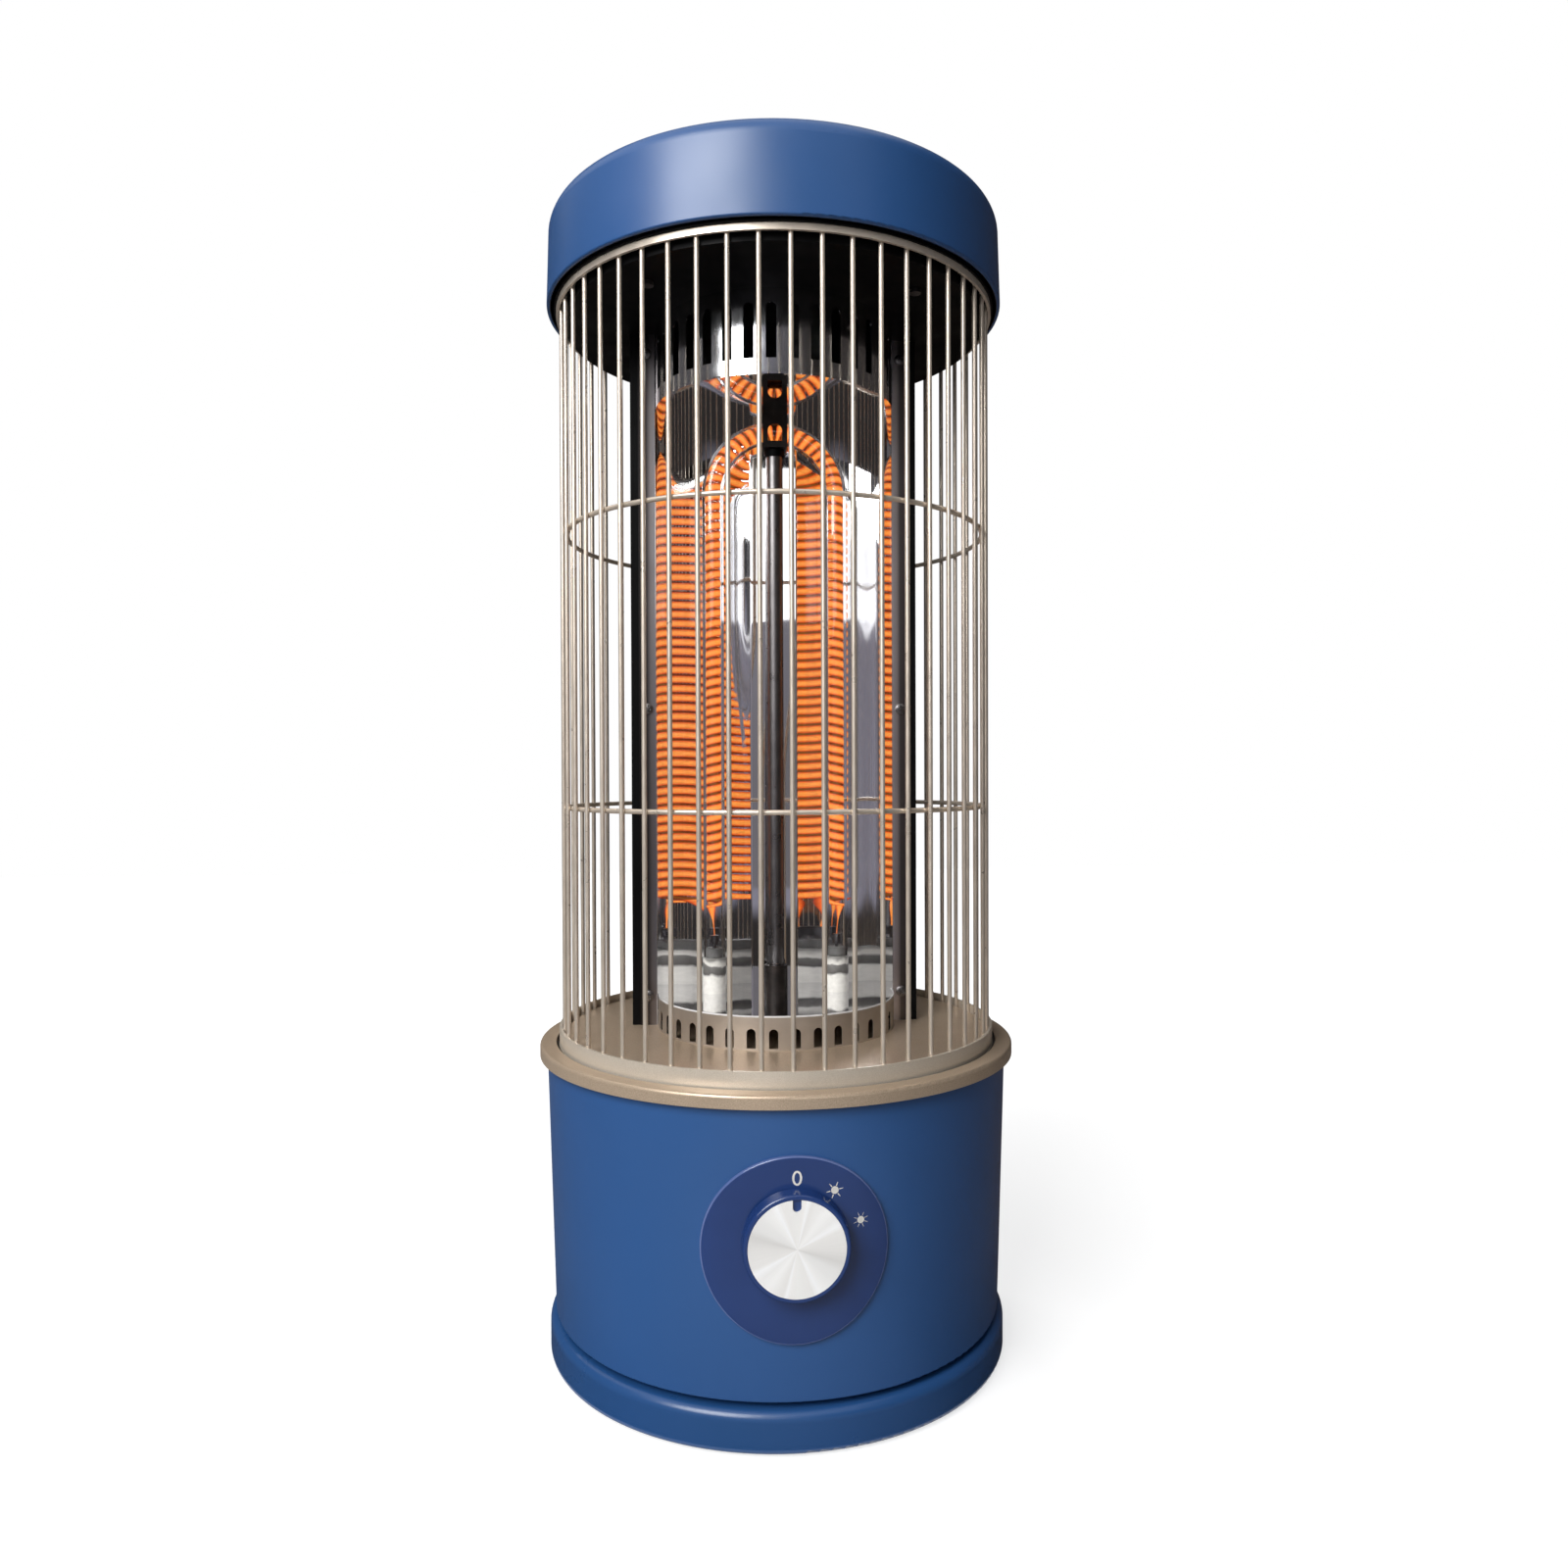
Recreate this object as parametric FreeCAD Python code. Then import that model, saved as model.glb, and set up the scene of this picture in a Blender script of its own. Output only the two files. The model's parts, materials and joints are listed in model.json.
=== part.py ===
import FreeCAD, Part
import math
import os

from FreeCAD import Vector

# Free-standing carbon heater: a U-shaped quartz lamp in front of a two-trough mirror, inside a round wire
# guard that stands on a drum base. Millimetres, +Z up, the dial faces -Y, and the origin is on the floor on the
# drum's axis.

# Fits
SEAT_GAP = 0.1            # between curved faces that seat on each other
RUNNING_GAP = 0.05        # radial, a shaft in its bearing
HOLE_GAP = 0.15           # radial, a screw or stem in its hole
SLIP_GAP = 0.4            # radial, one sheet part inside another
SHEET = 0.8               # mirror, shield, collars and discs

# Foot
FOOT_LIP = 3.0            # beyond the foot of the drum
FOOT_HEIGHT = 20.9
FOOT_WALL = 2.5
FOOT_SHOULDER = 4.5
HEM_LIFT = 1.5
HEM_ROUND = 2.0
COVER_LIFT = 3.5
COVER_SHEET = 2.0
PAD_RADIUS = 9.0
PAD_MARGIN = 5.1
PAD_STEM_RADIUS = 2.9
PAD_STEM = 5.0
PAD_COUNT = 4

# Drum
SEAM_GAP = 3.0
SEAM_DEPTH = 12.0
DRUM_DRAFT = 4.0          # the drum is this much wider at the top, in radius
DRUM_HEIGHT = 135.5
DRUM_WALL = 2.0
DRUM_EDGE_ROUND = 1.0

# Tray on the drum
RIM_WIDTH = 8.65
RIM_OVERHANG = 4.0
RIM_HEIGHT = 7.5
RIM_ROUND = 1.6
RIM_TAPER = 1.0
GROOVE_DEPTH = 1.5
GROOVE_MARGIN = 1.7
TRAY_RISE = 6.0
TRAY_SHEET = 1.2
TRAY_WALL = 3.3

# Guard cage
WIRE_COUNT = 50
WIRE_DIAMETER = 2.4
WIRE_CIRCLE = 116.9
WIRE_LENGTH = 397.0
HOOP_DIAMETER = 2.5
LOWER_HOOP_LEVEL = 128.1  # above the foot of the wires
UPPER_HOOP_LEVEL = 276.0
BAND_SHEET = 1.5
BAND_HEIGHT = 9.5
TOP_RING_HEIGHT = 3.3

# Cap
CAP_ROOM = 2.95           # between the guard's top ring and the inside of the cap
CAP_DRAFT = 1.4
CAP_HEIGHT = 47.3
CAP_LIFT = 1.1            # of the cap's hem above the guard
CAP_WALL = 2.0
CAP_ROUND = 9.0
CAP_HEM_ROUND = 1.0
CEILING_SHEET = 1.2
CEILING_DEPTH = 6.5

# Collars and mirror discs
COLLAR_RADIUS = 66.0
LOWER_COLLAR_HEIGHT = 16.8
UPPER_COLLAR_HEIGHT = 42.5
SLOT_COUNT = 36
LOWER_SLOT_WIDTH = 4.7
LOWER_SLOT_HEIGHT = 9.9
LOWER_SLOT_LIFT = 1.0
UPPER_SLOT_WIDTH = 5.4
UPPER_SLOT_HEIGHT = 28.0
UPPER_SLOT_LIFT = 7.2

# Mirror and its rear shield
RIDGE_GAP = 1.0           # between the crown clip and the mirror's ridge
RIDGE_RISE = 6.0          # of the ridge above the two troughs
FLANGE_REACH = 9.5
SHIELD_LIP = 4.3
REFLECTOR_SCREW_LOW = 16.5
REFLECTOR_SCREW_MIDDLE = 176.5
REFLECTOR_SCREW_HIGH = 11.0   # below the ceiling plate

# Quartz lamp
LEG_SPACING = 69.0
TUBE_DIAMETER = 12.0
TUBE_WALL = 1.0
CROWN_GAP = 4.2
CERAMIC_HEIGHT = 20.0
CERAMIC_DIAMETER = 13.0
CERAMIC_SPIGOT = 5.0
CERAMIC_TAIL = 6.0
COIL_LIFT = 28.0
COIL_DIAMETER = 8.6
COIL_TURNS = 98
FILAMENT_DIAMETER = 2.4
FILAMENT_TAIL = 13.5
LEAD_DIAMETER = 2.0
LEAD_CLIP_DIAMETER = 5.0
LEAD_CLIP_LENGTH = 5.0
LEAD_TAIL = 14.0
BUSH_DIAMETER = 8.0
BUSH_FLANGE = 11.0
BUSH_HEIGHT = 5.0

# Post between the legs and the clip round the crown
POST_DIAMETER = 9.6
POST_BASE_DIAMETER = 13.0
POST_BASE_HEIGHT = 15.0
POST_COLLAR_HEIGHT = 4.0
POST_COLLAR_SHEET = 0.9
CLIP_WIDTH = 13.6
CLIP_SHEET = 1.0
CLIP_DROP = 20.0
CLIP_ROOM = 1.0
CLIP_WINDOW_WIDTH = 8.0
CLIP_WINDOW_HEIGHT = 9.6
CLIP_WINDOW_LIFT = 3.4

# Dial and rotary switch
DIAL_LIFT = 71.3          # above the foot of the drum
DIAL_RADIUS = 43.5
DIAL_THICKNESS = 2.0
KNOB_RISE = 4.0           # above the middle of the dial plate
KNOB_RADIUS = 25.0
KNOB_FRONT_RADIUS = 24.3
KNOB_HEIGHT = 6.6
KNOB_GAP = 0.5
KNOB_ROUND = 1.2
KNOB_FACE_RADIUS = 22.2
KNOB_FACE_SHEET = 1.2
NOTCH_WIDTH = 4.0
NOTCH_LENGTH = 5.5
SPINDLE_RADIUS = 3.0
SPINDLE_GRIP = 4.4
BUSHING_RADIUS = 5.0
SWITCH_BOSS_RADIUS = 17.0
SWITCH_BOSS_DEPTH = 15.0
SWITCH_SIDE = 30.0
SWITCH_DEPTH = 24.0
SWITCH_SCREW_SPREAD = 10.0
SWITCH_SCREW_LENGTH = 22.0

# Tip-over switch
TIP_PLACE = (62.0, 40.0)
TIP_SIDE = 22.0
TIP_HEIGHT = 26.0
TIP_WALL = 2.0
TIP_BORE_RADIUS = 6.5
PLUNGER_RADIUS = 3.5
PLUNGER_FLANGE_RADIUS = 5.5
PLUNGER_FLANGE = 2.0
PLUNGER_LIFT = 0.3
PLUNGER_TRAVEL = 6.0
PLUNGER_STOP_GAP = 0.5
PLUNGER_GUIDE = 6.0
SPRING_RADIUS = 5.0
SPRING_WIRE = 0.8

# Other things inside the drum
BLOCK_PLACE = (0.0, 58.0)
BLOCK_LENGTH = 40.0
BLOCK_WIDTH = 18.0
BLOCK_HEIGHT = 16.0
CUTOFF_PLACE = (0.0, 40.0)
CUTOFF_RADIUS = 10.0
CUTOFF_HEIGHT = 8.0
DIODE_RADIUS = 4.0
DIODE_LENGTH = 12.0
DIODE_DROP = 10.0
WIRING_RADIUS = 1.4
WIRING_BEND = 9.0
WIRING_SPREAD = 8.0
GLAND_LIFT = 20.0
GLAND_RADIUS = 7.0
GLAND_BORE_RADIUS = 3.75
GLAND_FLANGE_RADIUS = 10.5
GLAND_FLANGE = 4.0
GLAND_NUT = 5.0

# Screws
SCREW_RADIUS = 1.5
SCREW_HEAD_RADIUS = 3.0
SCREW_HEAD = 2.0
SCREW_BOSS_RADIUS = 4.0
SCREW_LENGTH = 10.0
SCREW_COUNT = 4
CAP_SCREW_MARGIN = 19.0
TRAY_SCREW_COVER = 1.0    # left above the tips of the tray's screws
DRUM_SCREW_TURN = 30.0    # degrees, clear of the cord gland

# Levels, from the floor up
COVER_TOP = COVER_LIFT + COVER_SHEET
DRUM_FOOT = FOOT_HEIGHT + SEAM_GAP
DRUM_TOP = DRUM_FOOT + DRUM_HEIGHT
RIM_TOP = DRUM_TOP + RIM_HEIGHT
GROOVE_FLOOR = RIM_TOP - GROOVE_DEPTH
TRAY_FLOOR = GROOVE_FLOOR + TRAY_RISE
WIRE_TOP = GROOVE_FLOOR + WIRE_LENGTH
CAP_HEM = WIRE_TOP + CAP_LIFT
CAP_TOP = CAP_HEM + CAP_HEIGHT
CEILING = WIRE_TOP - CEILING_DEPTH
LOWER_MIRROR = TRAY_FLOOR + LOWER_COLLAR_HEIGHT + SHEET
UPPER_MIRROR = CEILING - UPPER_COLLAR_HEIGHT - SHEET
LEG_FOOT = LOWER_MIRROR + CERAMIC_HEIGHT
POST_TOP = UPPER_MIRROR - CLIP_DROP
DIAL_LEVEL = DRUM_FOOT + DIAL_LIFT
KNOB_LEVEL = DIAL_LEVEL + KNOB_RISE
GLAND_LEVEL = DRUM_FOOT + GLAND_LIFT

# Radii round the axis
WIRE_RADIUS = WIRE_DIAMETER / 2
CAGE_INSIDE = WIRE_CIRCLE - WIRE_RADIUS
BAND_INSIDE = WIRE_CIRCLE + WIRE_RADIUS + RUNNING_GAP
BAND_OUTSIDE = BAND_INSIDE + BAND_SHEET
HOOP_CIRCLE = CAGE_INSIDE - HOOP_DIAMETER / 2 - RUNNING_GAP
TRAY_STEP = CAGE_INSIDE - SLIP_GAP
SEAT_INSIDE = TRAY_STEP - TRAY_WALL
GROOVE_OUTSIDE = BAND_OUTSIDE + GROOVE_MARGIN
RIM_RADIUS = GROOVE_OUTSIDE + RIM_WIDTH
DRUM_TOP_RADIUS = RIM_RADIUS - RIM_OVERHANG
DRUM_BOTTOM_RADIUS = DRUM_TOP_RADIUS - DRUM_DRAFT
FOOT_RADIUS = DRUM_BOTTOM_RADIUS + FOOT_LIP
CAP_BOTTOM_RADIUS = BAND_OUTSIDE + CAP_ROOM + CAP_WALL
CAP_TOP_RADIUS = CAP_BOTTOM_RADIUS - CAP_DRAFT
CAP_SCREW_CIRCLE = CAGE_INSIDE - SLIP_GAP - CEILING_SHEET - CAP_SCREW_MARGIN
NECK_RADIUS = DRUM_BOTTOM_RADIUS - SEAM_DEPTH
NECK_INSIDE = NECK_RADIUS - FOOT_WALL
DRUM_SCREW_CIRCLE = NECK_INSIDE - SCREW_BOSS_RADIUS + FOOT_WALL / 3
COVER_RADIUS = FOOT_RADIUS - FOOT_WALL - SLIP_GAP
COVER_SCREW_CIRCLE = (NECK_RADIUS + FOOT_RADIUS - FOOT_WALL) / 2
PAD_CIRCLE = COVER_RADIUS - PAD_RADIUS - PAD_MARGIN
MIRROR_INSIDE = COLLAR_RADIUS + SLIP_GAP
FLANGE_OUTSIDE = MIRROR_INSIDE + FLANGE_REACH
SHIELD_RADIUS = FLANGE_OUTSIDE + SHIELD_LIP

# Lamp centre line
HALF_SPACING = LEG_SPACING / 2
TUBE_RADIUS = TUBE_DIAMETER / 2
CROWN_CENTRE = UPPER_MIRROR - CROWN_GAP - TUBE_RADIUS - HALF_SPACING
COIL_FOOT = LEG_FOOT + COIL_LIFT
COIL_LEG = CROWN_CENTRE - COIL_FOOT
COIL_CROWN = math.pi * HALF_SPACING
COIL_PITCH = (2 * COIL_LEG + COIL_CROWN) / COIL_TURNS
COIL_RADIUS = (COIL_DIAMETER - FILAMENT_DIAMETER) / 2

# Depths behind the lamp's plane
CLIP_INSIDE = TUBE_RADIUS + CLIP_ROOM
RIDGE_DEPTH = CLIP_INSIDE + CLIP_SHEET + RIDGE_GAP
TROUGH_DEPTH = RIDGE_DEPTH + RIDGE_RISE

UP = Vector(0, 0, 1)
FRONT = Vector(0, -1, 0)
ORIGIN = Vector(0, 0, 0)


def corner(before, point, after, radius):
    """Start, middle and end of the arc that rounds one corner of an outline."""
    back = (before - point).normalize()
    ahead = (after - point).normalize()
    half = back.getAngle(ahead) / 2
    reach = radius / math.tan(half)
    centre = point + (back + ahead).normalize() * (radius / math.sin(half))
    return point + back * reach, centre + (point - centre).normalize() * radius, point + ahead * reach


def outline(points):
    """Closed wire in the XZ plane through corners given as (r, z) or (r, z, rounding)."""
    flat = [Vector(point[0], 0, point[1]) for point in points]
    bends = []
    for i, point in enumerate(points):
        if len(point) > 2:
            bends.append(corner(flat[i - 1], flat[i], flat[(i + 1) % len(flat)], point[2]))
        else:
            bends.append((flat[i], None, flat[i]))
    edges = []
    for i, (start, middle, end) in enumerate(bends):
        edges.append(Part.LineSegment(bends[i - 1][2], start).toShape())
        if middle is not None:
            edges.append(Part.Arc(start, middle, end).toShape())
    return Part.Wire(edges)


def turned(points):
    """Solid of revolution about Z of a closed outline."""
    return Part.Face(outline(points)).revolve(ORIGIN, UP, 360)


def rod(radius, low, high, x=0.0, y=0.0):
    """Upright cylinder between two levels."""
    return Part.makeCylinder(radius, high - low, Vector(x, y, low), UP)


def ring(inside, outside, low, high):
    """Upright tube round the axis."""
    return rod(outside, low, high).cut(rod(inside, low, high))


def front_rod(radius, near, far, level, x=0.0):
    """Cylinder along Y, from the depth near out to the depth far, both measured towards the front."""
    return Part.makeCylinder(radius, far - near, Vector(x, -near, level), FRONT)


def block(length, width, low, high, x=0.0, y=0.0):
    """Upright box centred on a place in plan."""
    return Part.makeBox(length, width, high - low, Vector(x - length / 2, y - width / 2, low))


def around(shape, count, first=0.0):
    """Copies of a shape spread evenly round the axis."""
    copies = []
    for i in range(count):
        copy = shape.copy()
        copy.rotate(ORIGIN, UP, first + 360.0 * i / count)
        copies.append(copy)
    return copies


def group(shapes):
    """One node of separate solids."""
    return Part.makeCompound(shapes)


def drum_radius(level):
    """Outer radius of the drum at a height."""
    return DRUM_BOTTOM_RADIUS + (DRUM_TOP_RADIUS - DRUM_BOTTOM_RADIUS) * (level - DRUM_FOOT) / DRUM_HEIGHT


def drum_envelope(offset):
    """Solid cone that follows the drum's outside, moved out by an offset."""
    return turned([(0, DRUM_FOOT), (DRUM_BOTTOM_RADIUS + offset, DRUM_FOOT),
                   (DRUM_TOP_RADIUS + offset, DRUM_TOP), (0, DRUM_TOP)])


def screw(x, y, seat, up, length):
    """Pan-head screw, its head under the seat with the shank up, or over it with the shank down."""
    way = 1 if up else -1
    head = Part.makeCylinder(SCREW_HEAD_RADIUS, SCREW_HEAD, Vector(x, y, seat), UP * -way)
    shank = Part.makeCylinder(SCREW_RADIUS, length, Vector(x, y, seat), UP * way)
    return head.fuse(shank).removeSplitter()


def screw_hole(x, y, low, high):
    """Clearance hole for a screw's shank."""
    return rod(SCREW_RADIUS + HOLE_GAP, low, high, x, y)


def foot_ring():
    """Dish-shaped foot with a neck that carries the drum, and bosses for two sets of screws."""
    body = turned([
        (FOOT_RADIUS - FOOT_WALL, HEM_LIFT), (FOOT_RADIUS, HEM_LIFT, HEM_ROUND),
        (FOOT_RADIUS, FOOT_HEIGHT, FOOT_SHOULDER), (NECK_RADIUS, FOOT_HEIGHT), (NECK_RADIUS, DRUM_FOOT),
        (NECK_INSIDE, DRUM_FOOT), (NECK_INSIDE, FOOT_HEIGHT - FOOT_WALL),
        (FOOT_RADIUS - FOOT_WALL, FOOT_HEIGHT - FOOT_WALL)])
    drum_boss = rod(SCREW_BOSS_RADIUS, DRUM_FOOT - SCREW_LENGTH - DRUM_WALL, DRUM_FOOT, DRUM_SCREW_CIRCLE)
    drum_hole = screw_hole(DRUM_SCREW_CIRCLE, 0, DRUM_FOOT - SCREW_LENGTH, DRUM_FOOT)
    cover_boss = rod(SCREW_BOSS_RADIUS, COVER_TOP, FOOT_HEIGHT - FOOT_WALL / 2, COVER_SCREW_CIRCLE)
    cover_hole = screw_hole(COVER_SCREW_CIRCLE, 0, COVER_TOP, COVER_LIFT + SCREW_LENGTH + SCREW_HEAD)
    body = body.fuse(around(drum_boss, SCREW_COUNT, DRUM_SCREW_TURN) + around(cover_boss, SCREW_COUNT))
    return body.cut(around(drum_hole, SCREW_COUNT, DRUM_SCREW_TURN) + around(cover_hole, SCREW_COUNT))


def half_step(count):
    """Half the angle between copies spread round the axis."""
    return 180.0 / count


def bottom_cover():
    """Plate that closes the foot, with holes for its screws, the pads' stems and the plunger."""
    plate = rod(COVER_RADIUS, COVER_LIFT, COVER_TOP)
    screws = around(screw_hole(COVER_SCREW_CIRCLE, 0, COVER_LIFT, COVER_TOP), SCREW_COUNT)
    stems = around(rod(PAD_STEM_RADIUS + HOLE_GAP, COVER_LIFT, COVER_TOP, PAD_CIRCLE), PAD_COUNT,
                   half_step(PAD_COUNT))
    plunger = rod(PLUNGER_RADIUS + SLIP_GAP, COVER_LIFT, COVER_TOP, *TIP_PLACE)
    return plate.cut(screws + stems + [plunger])


def rubber_feet():
    """Round pads with stems pushed into the cover."""
    pad = rod(PAD_RADIUS, 0, COVER_LIFT, PAD_CIRCLE)
    stem = rod(PAD_STEM_RADIUS, 0, COVER_LIFT + PAD_STEM, PAD_CIRCLE)
    return group(around(pad.fuse(stem).removeSplitter(), PAD_COUNT, half_step(PAD_COUNT)))


def switch_boss_face():
    """Depth, towards the front, of the flat inside the drum that the rotary switch seats on."""
    return drum_radius(KNOB_LEVEL) - SWITCH_BOSS_DEPTH


def drum_shell():
    """Drum wall with its turned-in flanges."""
    inner = DRUM_SCREW_CIRCLE - SCREW_BOSS_RADIUS - FOOT_WALL
    return turned([
        (inner, DRUM_FOOT), (DRUM_BOTTOM_RADIUS, DRUM_FOOT, DRUM_EDGE_ROUND), (DRUM_TOP_RADIUS, DRUM_TOP),
        (SEAT_INSIDE, DRUM_TOP), (SEAT_INSIDE, DRUM_TOP - DRUM_WALL),
        (drum_radius(DRUM_TOP - DRUM_WALL) - DRUM_WALL, DRUM_TOP - DRUM_WALL),
        (drum_radius(DRUM_FOOT + DRUM_WALL) - DRUM_WALL, DRUM_FOOT + DRUM_WALL),
        (inner, DRUM_FOOT + DRUM_WALL)])


def gland_slot(gap):
    """Upright bar at the rear, from under the drum's foot to the top of the cord gland's shank."""
    half = GLAND_RADIUS + gap
    return Part.makeBox(2 * half, DRUM_TOP_RADIUS, GLAND_LIFT + half, Vector(-half, 0, DRUM_FOOT))


def base_drum():
    """Drum with a boss for the rotary switch and a slot, open at its foot, for the cord gland."""
    outside = drum_radius(KNOB_LEVEL + SWITCH_BOSS_RADIUS)
    boss = front_rod(SWITCH_BOSS_RADIUS, switch_boss_face(), outside, KNOB_LEVEL).common(drum_envelope(0))
    body = drum_shell().fuse(boss).removeSplitter()
    holes = [gland_slot(HOLE_GAP)]
    holes.append(front_rod(BUSHING_RADIUS + HOLE_GAP, switch_boss_face(), outside, KNOB_LEVEL))
    seat = drum_radius(KNOB_LEVEL) - SWITCH_BOSS_DEPTH / 2
    for x in (-SWITCH_SCREW_SPREAD, SWITCH_SCREW_SPREAD):
        holes.append(front_rod(SCREW_RADIUS + HOLE_GAP, switch_boss_face(), outside, KNOB_LEVEL, x))
        holes.append(front_rod(SCREW_HEAD_RADIUS + HOLE_GAP, seat, outside, KNOB_LEVEL, x))
    drum_hole = screw_hole(DRUM_SCREW_CIRCLE, 0, DRUM_FOOT, DRUM_FOOT + DRUM_WALL)
    tray_hole = screw_hole(tray_screw_circle(), 0, DRUM_TOP - DRUM_WALL, DRUM_TOP)
    return body.cut(holes + around(drum_hole, SCREW_COUNT, DRUM_SCREW_TURN) + around(tray_hole, SCREW_COUNT))


def tray_screw_circle():
    """Radius of the screws that hold the tray down on the drum's top flange."""
    return SEAT_INSIDE + SCREW_HEAD_RADIUS + SLIP_GAP


def tray_screw_end():
    """Level of the tips of the tray's screws, short of the groove's floor."""
    return GROOVE_FLOOR - TRAY_SCREW_COVER


def base_tray():
    """Tray with a rounded rim, a groove that takes the foot of the guard, and a raised floor."""
    body = turned([
        (SEAT_INSIDE, DRUM_TOP), (DRUM_TOP_RADIUS, DRUM_TOP), (RIM_RADIUS, DRUM_TOP + RIM_TAPER),
        (RIM_RADIUS, RIM_TOP, RIM_ROUND), (GROOVE_OUTSIDE, RIM_TOP), (GROOVE_OUTSIDE, GROOVE_FLOOR),
        (TRAY_STEP, GROOVE_FLOOR), (TRAY_STEP, TRAY_FLOOR), (0, TRAY_FLOOR), (0, TRAY_FLOOR - TRAY_SHEET),
        (SEAT_INSIDE, TRAY_FLOOR - TRAY_SHEET)])
    hole = BUSH_DIAMETER / 2 + HOLE_GAP
    bushes = [rod(hole, DRUM_TOP, TRAY_FLOOR, x) for x in (-HALF_SPACING, HALF_SPACING)]
    screws = around(screw_hole(tray_screw_circle(), 0, DRUM_TOP, tray_screw_end()), SCREW_COUNT)
    return body.cut(bushes + screws)


def guard_wires():
    """Upright wires of the guard, one of them at the front."""
    wire = rod(WIRE_RADIUS, GROOVE_FLOOR, WIRE_TOP, 0, -WIRE_CIRCLE)
    return group(around(wire, WIRE_COUNT))


def guard_hoop(level):
    """Round wire hoop inside the upright wires."""
    return Part.makeTorus(HOOP_CIRCLE, HOOP_DIAMETER / 2, Vector(0, 0, GROOVE_FLOOR + level), UP)


def top_cap():
    """Drum-shaped cap with a rounded top edge and four bosses that hang down to the ceiling plate."""
    body = turned([
        (CAP_BOTTOM_RADIUS - CAP_WALL, CAP_HEM), (CAP_BOTTOM_RADIUS, CAP_HEM, CAP_HEM_ROUND),
        (CAP_TOP_RADIUS, CAP_TOP, CAP_ROUND), (0, CAP_TOP), (0, CAP_TOP - CAP_WALL),
        (CAP_TOP_RADIUS - CAP_WALL, CAP_TOP - CAP_WALL, CAP_ROUND - CAP_WALL)])
    boss = rod(SCREW_BOSS_RADIUS, CEILING + CEILING_SHEET, CAP_TOP - CAP_WALL / 2, CAP_SCREW_CIRCLE)
    hole = screw_hole(CAP_SCREW_CIRCLE, 0, CEILING + CEILING_SHEET, CEILING + SCREW_LENGTH)
    body = body.fuse(around(boss, SCREW_COUNT, half_step(SCREW_COUNT)))
    return body.cut(around(hole, SCREW_COUNT, half_step(SCREW_COUNT)))


def ceiling_plate():
    """Dished plate under the cap: its flange rests on the guard, its floor holds the upper collar."""
    wall = CAGE_INSIDE - SLIP_GAP
    flange = CAP_TOP_RADIUS - CAP_WALL - SLIP_GAP
    body = turned([
        (0, CEILING), (wall, CEILING), (wall, WIRE_TOP), (flange, WIRE_TOP),
        (flange, WIRE_TOP + CEILING_SHEET), (wall - CEILING_SHEET, WIRE_TOP + CEILING_SHEET),
        (wall - CEILING_SHEET, CEILING + CEILING_SHEET), (0, CEILING + CEILING_SHEET)])
    hole = screw_hole(CAP_SCREW_CIRCLE, 0, CEILING, CEILING + CEILING_SHEET)
    return body.cut(around(hole, SCREW_COUNT, half_step(SCREW_COUNT)))


def arched_slots(width, low, height):
    """Cutters for upright slots with round tops all round a collar."""
    straight = height - width / 2
    reach = COLLAR_RADIUS + SHEET
    foot = Part.makeBox(width, SHEET * 4, straight, Vector(-width / 2, -reach, low))
    arch = Part.makeCylinder(width / 2, SHEET * 4, Vector(0, -reach, low + straight), FRONT * -1)
    return around(foot.fuse(arch), SLOT_COUNT, half_step(SLOT_COUNT))


def lower_collar():
    """Slotted ring that lifts the lower mirror off the tray."""
    body = ring(COLLAR_RADIUS - SHEET, COLLAR_RADIUS, TRAY_FLOOR, TRAY_FLOOR + LOWER_COLLAR_HEIGHT)
    return body.cut(arched_slots(LOWER_SLOT_WIDTH, TRAY_FLOOR + LOWER_SLOT_LIFT, LOWER_SLOT_HEIGHT))


def upper_collar():
    """Slotted ring that hangs the upper mirror under the ceiling plate."""
    low = CEILING - UPPER_COLLAR_HEIGHT
    body = ring(COLLAR_RADIUS - SHEET, COLLAR_RADIUS, low, CEILING)
    return body.cut(arched_slots(UPPER_SLOT_WIDTH, low + UPPER_SLOT_LIFT, UPPER_SLOT_HEIGHT))


def lower_mirror_disc():
    """Mirror disc with holes for the tails of the ceramic ends."""
    disc = rod(COLLAR_RADIUS, LOWER_MIRROR - SHEET, LOWER_MIRROR)
    tail = ceramic_tail_radius() + HOLE_GAP
    return disc.cut([rod(tail, LOWER_MIRROR - SHEET, LOWER_MIRROR, x) for x in (-HALF_SPACING, HALF_SPACING)])


def upper_mirror_disc():
    """Mirror disc over the crown of the lamp."""
    return rod(COLLAR_RADIUS, UPPER_MIRROR, UPPER_MIRROR + SHEET)


def reflector_screw_places():
    """Places of the reflector's screws as (x, level), on both flanges."""
    across = (MIRROR_INSIDE + FLANGE_OUTSIDE) / 2
    levels = (TRAY_FLOOR + REFLECTOR_SCREW_LOW, TRAY_FLOOR + REFLECTOR_SCREW_MIDDLE,
              CEILING - REFLECTOR_SCREW_HIGH)
    return [(side * across, level) for side in (-1, 1) for level in levels]


def reflector_screw_holes():
    """Clearance holes for those screws through the flanges of the mirror and the shield."""
    radius = SCREW_RADIUS + HOLE_GAP
    return [front_rod(radius, -3 * SHEET, SHEET, level, x) for x, level in reflector_screw_places()]


def flanges(inside, outside, front):
    """Two upright strips in one plane, left and right, from the tray to the ceiling plate."""
    height = CEILING - TRAY_FLOOR
    corners = [Vector(-outside, front, TRAY_FLOOR), Vector(inside, front, TRAY_FLOOR)]
    return [Part.makeBox(outside - inside, SHEET, height, place) for place in corners]


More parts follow.
